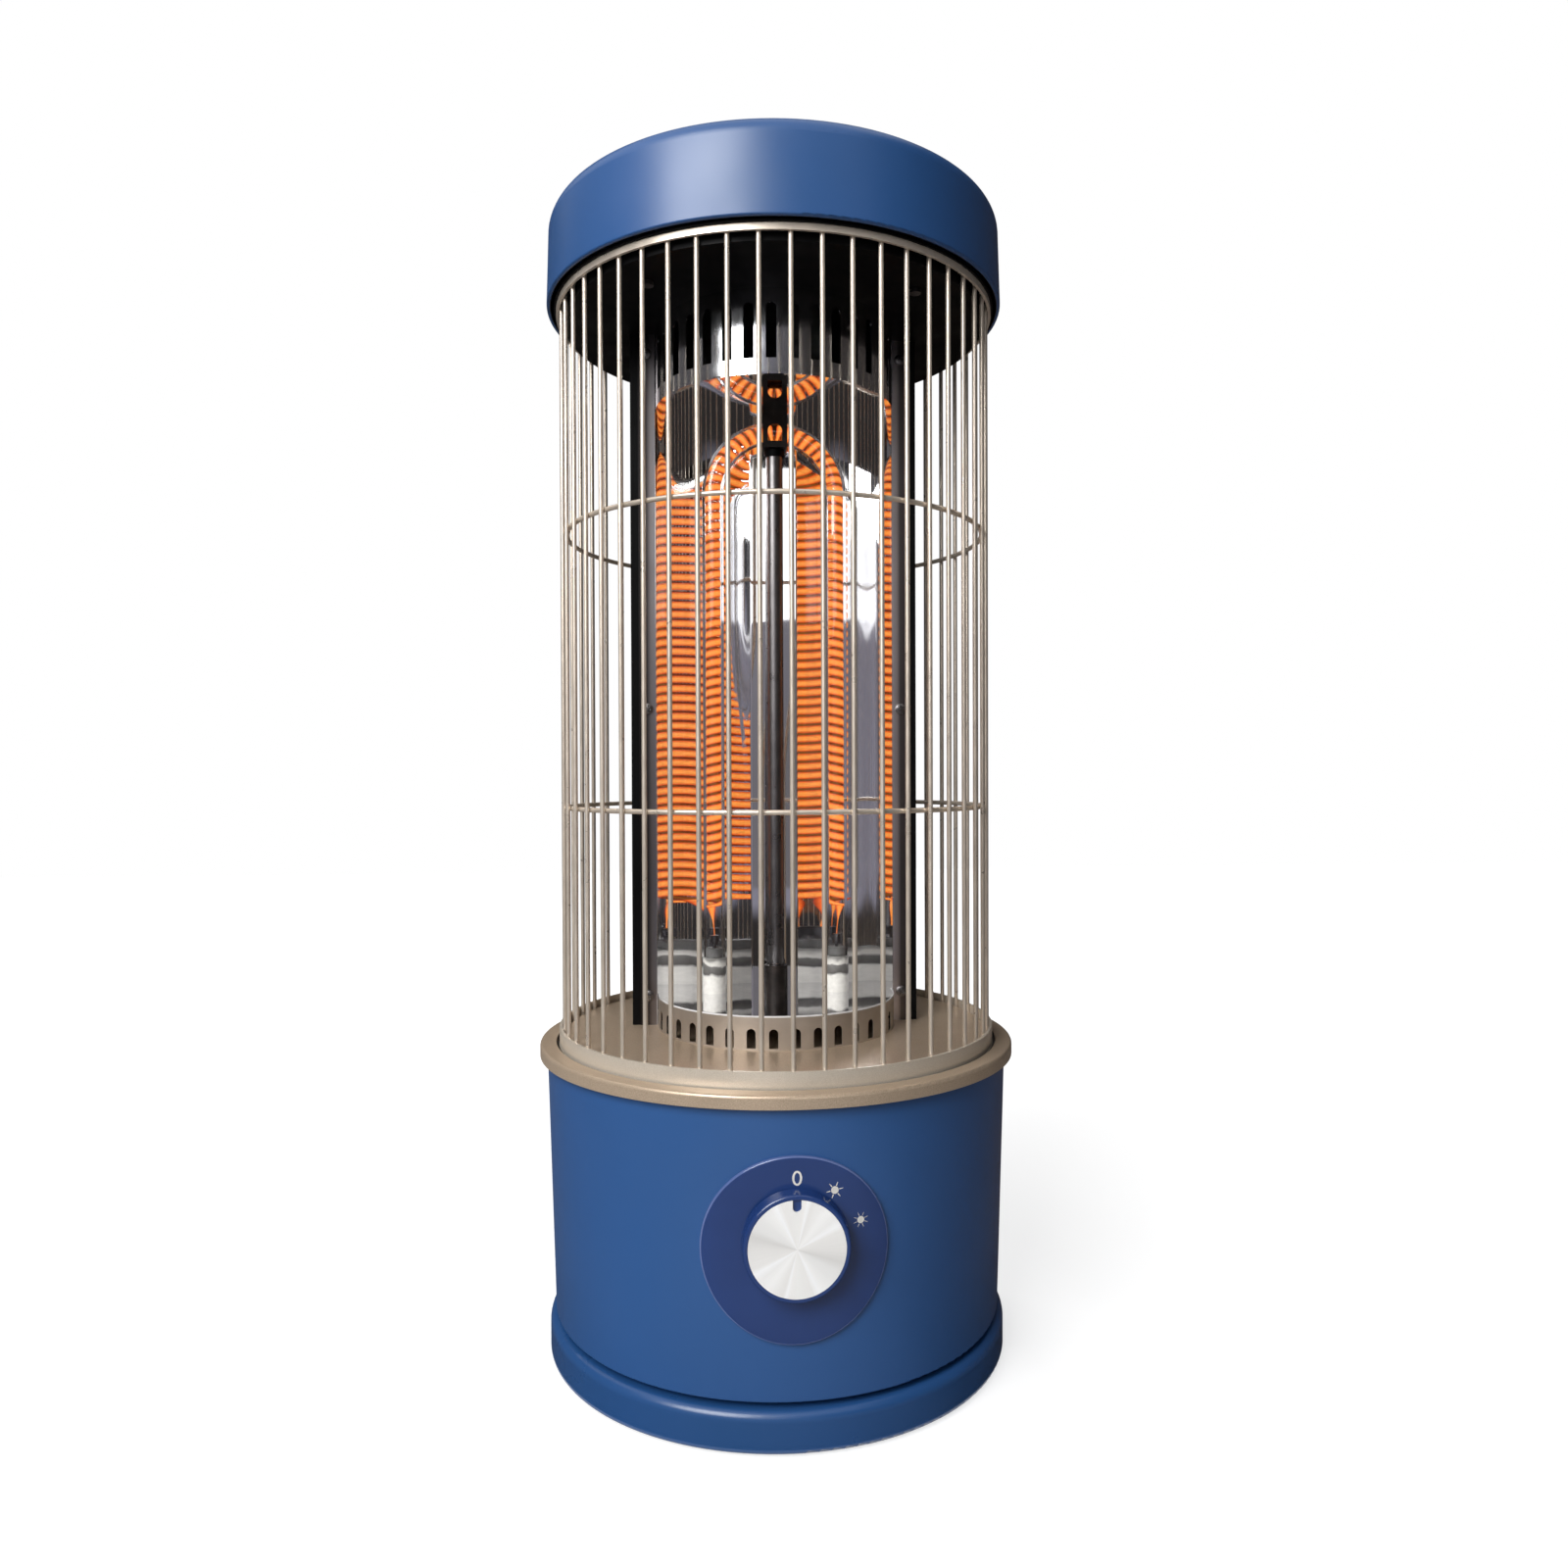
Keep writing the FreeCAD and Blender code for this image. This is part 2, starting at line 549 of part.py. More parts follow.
def mirror_line(back):
    """Mirror in plan, moved back: an arc behind each leg of the lamp and a flat ridge between the arcs."""
    half = MIRROR_INSIDE - HALF_SPACING
    radius = (half ** 2 + TROUGH_DEPTH ** 2) / (2 * TROUGH_DEPTH)
    ridge = HALF_SPACING - math.sqrt(2 * radius * RIDGE_RISE - RIDGE_RISE ** 2)
    points = [(MIRROR_INSIDE, 0), (HALF_SPACING, TROUGH_DEPTH), (ridge, RIDGE_DEPTH)]
    right = [Vector(x, y + back, LOWER_MIRROR) for x, y in points]
    left = [Vector(-x, y + back, LOWER_MIRROR) for x, y in reversed(points)]
    curves = [Part.Arc(*right), Part.LineSegment(right[-1], left[0]), Part.Arc(*left)]
    return [curve.toShape() for curve in curves]


def reflector():
    """Mirror between the discs, bent into a trough behind each leg, with a full-height flange on each side."""
    ends = [Part.LineSegment(Vector(x, 0, LOWER_MIRROR), Vector(x, SHEET, LOWER_MIRROR)).toShape()
            for x in (-MIRROR_INSIDE, MIRROR_INSIDE)]
    section = Part.Face(Part.Wire(Part.__sortEdges__(mirror_line(0) + mirror_line(SHEET) + ends)))
    body = section.extrude(UP * (UPPER_MIRROR - LOWER_MIRROR))
    body = body.fuse(flanges(MIRROR_INSIDE, FLANGE_OUTSIDE, 0)).removeSplitter()
    return body.cut(reflector_screw_holes())


def rear_shield():
    """Half-round heat shield behind the mirror, with flanges behind the mirror's own."""
    half = ring(SHIELD_RADIUS - SHEET, SHIELD_RADIUS, TRAY_FLOOR, CEILING)
    behind = Part.makeBox(2 * SHIELD_RADIUS, SHIELD_RADIUS, CEILING - TRAY_FLOOR,
                          Vector(-SHIELD_RADIUS, SHEET, TRAY_FLOOR))
    inner = MIRROR_INSIDE + SHEET + SLIP_GAP
    body = half.common(behind).fuse(flanges(inner, SHIELD_RADIUS - SHEET / 2, SHEET)).removeSplitter()
    return body.cut(reflector_screw_holes())


def reflector_screws():
    """Screws that clamp the mirror's flanges to the shield."""
    screws = []
    for x, level in reflector_screw_places():
        head = front_rod(SCREW_HEAD_RADIUS, 0, SCREW_HEAD, level, x)
        shank = front_rod(SCREW_RADIUS, -SCREW_LENGTH / 2, SCREW_HEAD, level, x)
        screws.append(head.fuse(shank).removeSplitter())
    return group(screws)


def lamp_pipe(radius):
    """Solid bar along the lamp's centre line: leg, half-round crown, leg."""
    legs = [rod(radius, LEG_FOOT, CROWN_CENTRE, x) for x in (-HALF_SPACING, HALF_SPACING)]
    section = Part.Face(Part.Wire(Part.makeCircle(radius, Vector(-HALF_SPACING, 0, CROWN_CENTRE), UP)))
    crown = section.revolve(Vector(0, 0, CROWN_CENTRE), Vector(0, 1, 0), 180)
    return legs[0].fuse([crown, legs[1]]).removeSplitter()


def quartz_tube():
    """Clear U-shaped tube, open at the feet."""
    return lamp_pipe(TUBE_RADIUS).cut(lamp_pipe(TUBE_RADIUS - TUBE_WALL))


def lamp_frame(distance):
    """Point on the lamp's centre line and the way out of the U, at a distance from the left coil's foot."""
    if distance < COIL_LEG:
        return Vector(-HALF_SPACING, 0, COIL_FOOT + distance), Vector(-1, 0, 0)
    if distance > COIL_LEG + COIL_CROWN:
        down = distance - COIL_LEG - COIL_CROWN
        return Vector(HALF_SPACING, 0, CROWN_CENTRE - down), Vector(1, 0, 0)
    angle = (distance - COIL_LEG) / HALF_SPACING
    out = Vector(-math.cos(angle), 0, math.sin(angle))
    return Vector(0, 0, CROWN_CENTRE) + out * HALF_SPACING, out


def coil_point(turn):
    """Point on the coil after a number of turns: a circle round the centre line that moves along it."""
    centre, out = lamp_frame(turn * COIL_PITCH)
    angle = 2 * math.pi * turn
    return centre + (out * math.cos(angle) + FRONT * math.sin(angle)) * COIL_RADIUS


def coil_heading(turn):
    """Unit tangent of the coil."""
    step = 0.001
    return (coil_point(turn + step) - coil_point(turn - step)).normalize()


def arc_from(start, heading, end):
    """Arc that leaves start along heading and ends at end, or a line where they are in line."""
    chord = end - start
    side = chord - heading * chord.dot(heading)
    if side.Length < 1e-6 * chord.Length:
        return Part.LineSegment(start, end).toShape()
    centre = start + side * (chord.dot(chord) / (2 * side.dot(chord)))
    middle = centre + ((start + end) * 0.5 - centre).normalize() * (start - centre).Length
    return Part.Arc(start, middle, end).toShape()


def biarc(start, heading, end, end_heading):
    """Two arcs that join two points with a given heading at each."""
    span = end - start
    both = heading + end_heading
    spread = 2 * (1 - heading.dot(end_heading))
    along = span.dot(both)
    reach = (math.sqrt(along * along + spread * span.dot(span)) - along) / spread
    joint = (start + heading * reach + end - end_heading * reach) * 0.5
    return [arc_from(start, heading, joint), arc_from(end, end_heading * -1, joint)]


def carbon_filament():
    """One wound wire that follows the U, with straight tails on the centre line at both feet."""
    halves = 2 * COIL_TURNS
    turns = [i / 2 for i in range(halves + 1)]
    tail_end = COIL_FOOT - FILAMENT_TAIL
    left = Vector(-HALF_SPACING, 0, tail_end)
    right = Vector(HALF_SPACING, 0, tail_end)
    drop = UP * FILAMENT_DIAMETER
    edges = [Part.LineSegment(left - drop, left).toShape()]
    edges += biarc(left, UP, coil_point(0), coil_heading(0))
    for near, far in zip(turns, turns[1:]):
        edges += biarc(coil_point(near), coil_heading(near), coil_point(far), coil_heading(far))
    edges += biarc(coil_point(COIL_TURNS), coil_heading(COIL_TURNS), right, UP * -1)
    edges.append(Part.LineSegment(right, right - drop).toShape())
    path = Part.Wire(Part.__sortEdges__(edges))
    section = Part.Wire(Part.makeCircle(FILAMENT_DIAMETER / 2, left - drop, UP))
    coil = path.makePipeShell([section], True, False)
    print("filament gap to itself", round(coil_gap(), 3), "volume ratio",
          round(coil.Volume / (math.pi * (FILAMENT_DIAMETER / 2) ** 2 * path.Length), 4))
    return coil


def coil_gap():
    """Least clear gap between neighbouring turns of the coil, measured on points."""
    steps = 16
    least = COIL_PITCH
    for i in range(COIL_TURNS * steps - steps):
        here = coil_point(i / steps)
        for j in range(i + steps // 2, min(i + 3 * steps // 2, COIL_TURNS * steps)):
            least = min(least, (coil_point(j / steps) - here).Length)
    return least - FILAMENT_DIAMETER


def ceramic_tail_radius():
    """Radius of the tail that locates a ceramic end in the lower mirror."""
    return CERAMIC_DIAMETER / 2 - CERAMIC_DIAMETER / 8


def lead_foot():
    """Lower end of the lead rods, inside the drum."""
    return TRAY_FLOOR - TRAY_SHEET - LEAD_TAIL


def ceramic_end(x):
    """Ceramic end with a spigot up into the tube, a tail down through the mirror and a hole for the lead."""
    spigot = TUBE_RADIUS - TUBE_WALL - HOLE_GAP
    body = rod(CERAMIC_DIAMETER / 2, LOWER_MIRROR, LEG_FOOT, x)
    body = body.fuse([rod(spigot, LEG_FOOT, LEG_FOOT + CERAMIC_SPIGOT, x),
                      rod(ceramic_tail_radius(), LOWER_MIRROR - CERAMIC_TAIL, LOWER_MIRROR, x)])
    bore = rod(LEAD_DIAMETER / 2 + HOLE_GAP, LOWER_MIRROR - CERAMIC_TAIL, LEG_FOOT + CERAMIC_SPIGOT, x)
    return body.removeSplitter().cut(bore)


def filament_leads():
    """Lead rods with the clips that hold the filament's tails."""
    top = COIL_FOOT - FILAMENT_TAIL - FILAMENT_DIAMETER
    leads = []
    for x in (-HALF_SPACING, HALF_SPACING):
        clip = rod(LEAD_CLIP_DIAMETER / 2, top - LEAD_CLIP_LENGTH, top, x)
        leads.append(clip.fuse(rod(LEAD_DIAMETER / 2, lead_foot(), top, x)).removeSplitter())
    return group(leads)


def lead_bushes():
    """Ceramic bushes that carry the leads through the tray."""
    bushes = []
    for x in (-HALF_SPACING, HALF_SPACING):
        low = TRAY_FLOOR - TRAY_SHEET - BUSH_HEIGHT
        body = rod(BUSH_DIAMETER / 2, low, TRAY_FLOOR, x)
        flange = rod(BUSH_FLANGE / 2, TRAY_FLOOR, TRAY_FLOOR + TRAY_SHEET, x)
        bore = rod(LEAD_DIAMETER / 2 + HOLE_GAP, low, TRAY_FLOOR + TRAY_SHEET, x)
        bushes.append(body.fuse(flange).removeSplitter().cut(bore))
    return group(bushes)


def support_post():
    """Rod that stands between the legs and carries the crown clip."""
    return rod(POST_DIAMETER / 2, LOWER_MIRROR + POST_BASE_HEIGHT, POST_TOP)


def post_collar():
    """Short sleeve round the top of the post, under the crown clip."""
    inside = POST_DIAMETER / 2 + RUNNING_GAP
    return ring(inside, inside + POST_COLLAR_SHEET, POST_TOP - POST_COLLAR_HEIGHT, POST_TOP)


def post_base():
    """Foot of the post on the lower mirror."""
    return rod(POST_BASE_DIAMETER / 2, LOWER_MIRROR, LOWER_MIRROR + POST_BASE_HEIGHT)


def crown_clip():
    """Strap from the post up both sides of the crown to the upper mirror, with an arched window."""
    depth = 2 * (CLIP_INSIDE + CLIP_SHEET)
    body = block(CLIP_WIDTH, depth, POST_TOP, UPPER_MIRROR)
    body = body.cut(block(CLIP_WIDTH, 2 * CLIP_INSIDE, POST_TOP + CLIP_SHEET, UPPER_MIRROR))
    low = POST_TOP + CLIP_WINDOW_LIFT
    straight = CLIP_WINDOW_HEIGHT - CLIP_WINDOW_WIDTH / 2
    window = block(CLIP_WINDOW_WIDTH, depth, low, low + straight)
    arch = front_rod(CLIP_WINDOW_WIDTH / 2, -depth / 2, depth / 2, low + straight)
    return body.cut([window, arch])


def dial_outside(level):
    """Depth, towards the front, of the dial plate's face at a height."""
    return drum_radius(level) + SEAT_GAP + DIAL_THICKNESS


def dial_plate():
    """Round plate bent to the drum, with a hole for the switch's bushing."""
    shell = drum_envelope(SEAT_GAP + DIAL_THICKNESS).cut(drum_envelope(SEAT_GAP))
    far = DRUM_TOP_RADIUS + SEAT_GAP + DIAL_THICKNESS
    plate = front_rod(DIAL_RADIUS, 0, far, DIAL_LEVEL).common(shell)
    return plate.cut(front_rod(BUSHING_RADIUS + HOLE_GAP, 0, far, KNOB_LEVEL))


def knob_back():
    """Depth of the knob's back, clear of the dial plate under its upper edge."""
    return dial_outside(KNOB_LEVEL + KNOB_RADIUS) + KNOB_GAP


def knob_body():
    """Low round knob with a shallow seat for its face and a blind hole for the spindle."""
    top = KNOB_HEIGHT
    body = turned([(0, 0), (KNOB_RADIUS, 0), (KNOB_FRONT_RADIUS, top, KNOB_ROUND), (0, top)])
    body = body.cut([rod(KNOB_FACE_RADIUS + RUNNING_GAP, top - KNOB_FACE_SHEET, top),
                     rod(SPINDLE_RADIUS + RUNNING_GAP, 0, SPINDLE_GRIP + RUNNING_GAP)])
    return to_front(body)


def to_front(shape):
    """Turns a knob piece built along Z so that it faces the front, and moves it to the dial's axis."""
    placed = shape.copy()
    placed.rotate(ORIGIN, Vector(1, 0, 0), 90)
    placed.translate(Vector(0, -knob_back(), KNOB_LEVEL))
    return placed


def knob_face():
    """Thin spun disc let into the knob, with a round-ended notch that points at the setting."""
    low = KNOB_HEIGHT - KNOB_FACE_SHEET
    disc = rod(KNOB_FACE_RADIUS, low, KNOB_HEIGHT)
    end = KNOB_FACE_RADIUS - NOTCH_LENGTH + NOTCH_WIDTH / 2
    notch = Part.makeBox(NOTCH_WIDTH, NOTCH_LENGTH, KNOB_FACE_SHEET, Vector(-NOTCH_WIDTH / 2, end, low))
    return to_front(disc.cut([notch, rod(NOTCH_WIDTH / 2, low, KNOB_HEIGHT, 0, end)]))


def switch_back():
    """Depth of the rotary switch's rear face."""
    return switch_boss_face() - SWITCH_DEPTH


def spindle_end():
    """Depth of the spindle's inner end, half way into the switch."""
    return switch_boss_face() - SWITCH_DEPTH / 2


def knob_spindle():
    """Round spindle from inside the switch to the knob."""
    return front_rod(SPINDLE_RADIUS, spindle_end(), knob_back() + SPINDLE_GRIP, KNOB_LEVEL)


def rotary_switch():
    """Switch box with a bushing that guides the spindle, and screw holes in its front."""
    box = Part.makeBox(SWITCH_SIDE, SWITCH_DEPTH, SWITCH_SIDE,
                       Vector(-SWITCH_SIDE / 2, -switch_boss_face(), KNOB_LEVEL - SWITCH_SIDE / 2))
    outside = drum_radius(KNOB_LEVEL)
    body = box.fuse(front_rod(BUSHING_RADIUS, switch_boss_face(), outside, KNOB_LEVEL))
    bore = front_rod(SPINDLE_RADIUS + RUNNING_GAP, spindle_end() - SLIP_GAP, outside, KNOB_LEVEL)
    seat = outside - SWITCH_BOSS_DEPTH / 2
    screws = [front_rod(SCREW_RADIUS + HOLE_GAP, seat - SWITCH_SCREW_LENGTH, seat, KNOB_LEVEL, x)
              for x in (-SWITCH_SCREW_SPREAD, SWITCH_SCREW_SPREAD)]
    return body.removeSplitter().cut([bore] + screws)


def switch_screws():
    """Two screws that hold the rotary switch to the drum's boss."""
    seat = drum_radius(KNOB_LEVEL) - SWITCH_BOSS_DEPTH / 2
    screws = []
    for x in (-SWITCH_SCREW_SPREAD, SWITCH_SCREW_SPREAD):
        head = front_rod(SCREW_HEAD_RADIUS, seat, seat + SCREW_HEAD, KNOB_LEVEL, x)
        shank = front_rod(SCREW_RADIUS, seat - SWITCH_SCREW_LENGTH, seat, KNOB_LEVEL, x)
        screws.append(head.fuse(shank).removeSplitter())
    return group(screws)


def plunger_flange_level():
    """Underside of the plunger's flange at rest, its travel and stop gap above the housing's floor."""
    return COVER_TOP + TIP_WALL + PLUNGER_STOP_GAP + PLUNGER_TRAVEL


def tip_switch():
    """Housing of the tip-over switch on the cover, with a bore for the plunger and its spring."""
    top = COVER_TOP + TIP_HEIGHT
    body = block(TIP_SIDE, TIP_SIDE, COVER_TOP, top, *TIP_PLACE)
    cavity = rod(TIP_BORE_RADIUS, COVER_TOP + TIP_WALL, top - TIP_WALL, *TIP_PLACE)
    guide = rod(PLUNGER_RADIUS + RUNNING_GAP, COVER_TOP, COVER_TOP + TIP_WALL, *TIP_PLACE)
    return body.cut([cavity, guide])


def tip_plunger():
    """Plunger that the floor holds up, with a flange for its spring and stop."""
    low = plunger_flange_level()
    body = rod(PLUNGER_RADIUS, PLUNGER_LIFT, low + PLUNGER_FLANGE + PLUNGER_GUIDE, *TIP_PLACE)
    flange = rod(PLUNGER_FLANGE_RADIUS, low, low + PLUNGER_FLANGE, *TIP_PLACE)
    return body.fuse(flange).removeSplitter()


def tip_spring():
    """Sleeve in the place of the plunger's hidden spring."""
    low = plunger_flange_level() + PLUNGER_FLANGE
    high = COVER_TOP + TIP_HEIGHT - TIP_WALL
    sleeve = rod(SPRING_RADIUS, low, high, *TIP_PLACE)
    return sleeve.cut(rod(SPRING_RADIUS - SPRING_WIRE, low, high, *TIP_PLACE))


def terminal_block():
    """Block of screw terminals on the cover."""
    return block(BLOCK_LENGTH, BLOCK_WIDTH, COVER_TOP, COVER_TOP + BLOCK_HEIGHT, *BLOCK_PLACE)


def thermal_cutoff():
    """Overheat cut-out, flat against the underside of the tray."""
    top = TRAY_FLOOR - TRAY_SHEET
    return rod(CUTOFF_RADIUS, top - CUTOFF_HEIGHT, top, *CUTOFF_PLACE)


def half_heat_diode():
    """Diode for the low setting, on the rear of the rotary switch."""
    return front_rod(DIODE_RADIUS, switch_back() - DIODE_LENGTH, switch_back(), KNOB_LEVEL - DIODE_DROP)


def cable(points):
    """Round cable along straight runs joined by tangent arcs."""
    route = [Vector(*point) for point in points]
    edges = []
    here = route[0]
    for before, point, after in zip(route, route[1:], route[2:]):
        start, middle, end = corner(before, point, after, WIRING_BEND)
        edges.append(Part.LineSegment(here, start).toShape())
        edges.append(Part.Arc(start, middle, end).toShape())
        here = end
    edges.append(Part.LineSegment(here, route[-1]).toShape())
    section = Part.Wire(Part.makeCircle(WIRING_RADIUS, route[0], route[1] - route[0]))
    return Part.Wire(edges).makePipeShell([section], True, False)


def inner_wiring():
    """Cables between the block, the tip-over switch, the rotary switch, the cut-out and the leads."""
    block_top = COVER_TOP + BLOCK_HEIGHT
    tip_top = COVER_TOP + TIP_HEIGHT
    cut_foot = TRAY_FLOOR - TRAY_SHEET - CUTOFF_HEIGHT
    bend = 2 * WIRING_BEND
    side = WIRING_SPREAD
    block_x, block_y = BLOCK_PLACE
    tip_x, tip_y = TIP_PLACE
    cut_x, cut_y = CUTOFF_PLACE
    back = -switch_back()
    low = lead_foot() - 3 * WIRING_BEND
    routes = [
        [(block_x + side, block_y, block_top), (block_x + side, block_y, tip_top + bend),
         (tip_x - side, tip_y, tip_top + bend), (tip_x - side, tip_y, tip_top)],
        [(tip_x + side, tip_y, tip_top), (tip_x + side, tip_y, KNOB_LEVEL),
         (side, back + bend + side, KNOB_LEVEL), (side, back, KNOB_LEVEL)],
        [(-side, back, KNOB_LEVEL), (-side, back + bend + side, KNOB_LEVEL), (-HALF_SPACING, 0, low),
         (-HALF_SPACING, 0, lead_foot())],
        [(cut_x + side / 2, cut_y, cut_foot), (cut_x + side / 2, cut_y, low), (HALF_SPACING, 0, low),
         (HALF_SPACING, 0, lead_foot())],
        [(cut_x - side / 2, cut_y, cut_foot), (cut_x - side / 2, cut_y, KNOB_LEVEL),
         (block_x - side, block_y, KNOB_LEVEL - 2 * bend), (block_x - side, block_y, block_top)]]
    return group([cable(route) for route in routes])


def cord_gland():
    """Bush in the rear of the drum for the mains cord: flange, nut, and a tongue that fills the drum's slot."""
    outside = drum_radius(GLAND_LEVEL + GLAND_FLANGE_RADIUS) + SEAT_GAP
    wall = drum_radius(GLAND_LEVEL - GLAND_FLANGE_RADIUS) - DRUM_WALL
    inside = math.sqrt(wall ** 2 - GLAND_FLANGE_RADIUS ** 2) - SEAT_GAP
    rear = FRONT * -1
    body = Part.makeCylinder(GLAND_RADIUS, outside + GLAND_FLANGE - inside + GLAND_NUT,
                             Vector(0, inside - GLAND_NUT, GLAND_LEVEL), rear)
    flange = Part.makeCylinder(GLAND_FLANGE_RADIUS, GLAND_FLANGE, Vector(0, outside, GLAND_LEVEL), rear)
    nut = Part.makeCylinder(GLAND_FLANGE_RADIUS, GLAND_NUT, Vector(0, inside - GLAND_NUT, GLAND_LEVEL), rear)
    bore = Part.makeCylinder(GLAND_BORE_RADIUS, outside + GLAND_FLANGE, Vector(0, 0, GLAND_LEVEL), rear)
    tongue = gland_slot(0).common(drum_shell())
    return body.fuse([flange, nut, tongue]).removeSplitter().cut(bore)


def ring_of_screws(circle, seat, first, up, length=SCREW_LENGTH):
    """Screws spread round the axis."""
    return group(around(screw(circle, 0, seat, up, length), SCREW_COUNT, first))


def build():
    """All nodes by name."""
    left, right = -HALF_SPACING, HALF_SPACING
    tray_seat = DRUM_TOP - DRUM_WALL
    return {
        "foot_ring": foot_ring(),
        "bottom_cover": bottom_cover(),
        "rubber_feet": rubber_feet(),
        "cover_screws": ring_of_screws(COVER_SCREW_CIRCLE, COVER_LIFT, 0, True),
        "base_drum": base_drum(),
        "drum_screws": ring_of_screws(DRUM_SCREW_CIRCLE, DRUM_FOOT + DRUM_WALL, DRUM_SCREW_TURN, False),
        "base_tray": base_tray(),
        "tray_screws": ring_of_screws(tray_screw_circle(), tray_seat, 0, True, tray_screw_end() - tray_seat),
        "guard_wires": guard_wires(),
        "lower_guard_hoop": guard_hoop(LOWER_HOOP_LEVEL),
        "upper_guard_hoop": guard_hoop(UPPER_HOOP_LEVEL),
        "guard_bottom_band": ring(BAND_INSIDE, BAND_OUTSIDE, GROOVE_FLOOR, GROOVE_FLOOR + BAND_HEIGHT),
        "guard_top_ring": ring(BAND_INSIDE, BAND_OUTSIDE, WIRE_TOP - TOP_RING_HEIGHT, WIRE_TOP),
        "top_cap": top_cap(),
        "ceiling_plate": ceiling_plate(),
        "cap_screws": ring_of_screws(CAP_SCREW_CIRCLE, CEILING, half_step(SCREW_COUNT), True),
        "upper_collar": upper_collar(),
        "upper_mirror_disc": upper_mirror_disc(),
        "lower_collar": lower_collar(),
        "lower_mirror_disc": lower_mirror_disc(),
        "reflector": reflector(),
        "rear_shield": rear_shield(),
        "reflector_screws": reflector_screws(),
        "quartz_tube": quartz_tube(),
        "carbon_filament": carbon_filament(),
        "filament_leads": filament_leads(),
        "left_ceramic_end": ceramic_end(left),
        "right_ceramic_end": ceramic_end(right),
        "lead_bushes": lead_bushes(),
        "support_post": support_post(),
        "post_collar": post_collar(),
        "post_base": post_base(),
        "crown_clip": crown_clip(),
        "dial_plate": dial_plate(),
        "knob_body": knob_body(),
        "knob_face": knob_face(),
        "knob_spindle": knob_spindle(),
        "rotary_switch": rotary_switch(),
        "switch_screws": switch_screws(),
        "tip_switch": tip_switch(),
        "tip_plunger": tip_plunger(),
        "tip_spring": tip_spring(),
        "terminal_block": terminal_block(),
        "thermal_cutoff": thermal_cutoff(),
        "half_heat_diode": half_heat_diode(),
        "inner_wiring": inner_wiring(),
        "cord_gland": cord_gland(),
    }


os.makedirs("parts", exist_ok=True)
for name, shape in build().items():
    shape.exportStep(f"parts/{name}.step")
    volume = round(shape.Volume / 1000, 2)
    print(name, len(shape.Solids), "solids, valid", shape.isValid(), "volume", volume, "cm3")
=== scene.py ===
import json
import math

import bmesh
import bpy
import numpy as np
from mathutils import Matrix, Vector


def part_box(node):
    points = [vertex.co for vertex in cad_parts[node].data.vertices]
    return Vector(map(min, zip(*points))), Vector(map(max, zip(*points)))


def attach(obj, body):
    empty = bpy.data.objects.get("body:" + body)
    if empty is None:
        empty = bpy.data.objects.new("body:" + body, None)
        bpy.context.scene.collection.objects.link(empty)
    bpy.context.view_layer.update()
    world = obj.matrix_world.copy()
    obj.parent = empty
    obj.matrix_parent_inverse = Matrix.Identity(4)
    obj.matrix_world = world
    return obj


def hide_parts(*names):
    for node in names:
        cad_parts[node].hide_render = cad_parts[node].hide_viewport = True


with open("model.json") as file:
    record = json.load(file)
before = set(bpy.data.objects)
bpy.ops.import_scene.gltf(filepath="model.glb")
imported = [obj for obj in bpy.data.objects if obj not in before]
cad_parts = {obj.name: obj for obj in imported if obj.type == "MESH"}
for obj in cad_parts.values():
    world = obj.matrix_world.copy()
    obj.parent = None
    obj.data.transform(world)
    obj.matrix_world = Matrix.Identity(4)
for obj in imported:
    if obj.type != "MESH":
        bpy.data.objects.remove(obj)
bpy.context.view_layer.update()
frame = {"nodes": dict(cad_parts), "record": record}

MM = 0.001
TAU = 2 * math.pi


def corners(node):
    """Low and high corner of a CAD node's box, in millimetres."""
    return [np.array(corner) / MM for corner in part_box(node)]


# Sizes that the pieces here share with the solids, in millimetres. What the frame can tell is taken from it.

# Drum, foot and dial
DRUM_LOW, DRUM_HIGH = corners("base_drum")
DRUM_BOTTOM_RADIUS = 122.0
DRUM_TOP_RADIUS = DRUM_HIGH[0]
SEAM_GAP = 3.0
FOOT_TOP = DRUM_LOW[2] - SEAM_GAP
SEAT_GAP = 0.1
DIAL_LOW, DIAL_HIGH = corners("dial_plate")
DIAL_RADIUS = (DIAL_HIGH[2] - DIAL_LOW[2]) / 2
DIAL_LEVEL = (DIAL_HIGH[2] + DIAL_LOW[2]) / 2
DIAL_THICKNESS = 2.0
DIAL_HOLE = 5.15
KNOB_LEVEL = sum(corners("knob_face"))[2] / 2

# Cap, whose box goes down to its screw bosses; its hem is within 0.1 mm of the ceiling plate's top
CAP_HEM = corners("ceiling_plate")[1][2]
CAP_HIGH = corners("top_cap")[1]
CAP_TOP = CAP_HIGH[2]
CAP_WALL = 2.0
CAP_INSIDE = CAP_HIGH[0] - CAP_WALL

# Guard's band, the tray's groove round it, and the lower collar
BAND_LOW, BAND_HIGH = corners("guard_bottom_band")
BAND_RADIUS = BAND_HIGH[0]
GROOVE_MARGIN = 1.7
GROOVE_RADIUS = BAND_RADIUS + GROOVE_MARGIN
GROOVE_FLOOR = BAND_LOW[2]
SHEET = 0.8
COLLAR_INSIDE = corners("lower_collar")[1][0] - SHEET

# Lamp
TUBE_LOW, TUBE_HIGH = corners("quartz_tube")
TUBE_RADIUS = (TUBE_HIGH[1] - TUBE_LOW[1]) / 2
HALF_SPACING = TUBE_HIGH[0] - TUBE_RADIUS
CROWN_CENTRE = TUBE_HIGH[2] - TUBE_RADIUS - HALF_SPACING
COIL_RISE = 28.0
COIL_FOOT = TUBE_LOW[2] + COIL_RISE
COIL_OUTSIDE = 4.3
LEG_TURNS = 52.75
LEAD_TOP = corners("filament_leads")[1][2]

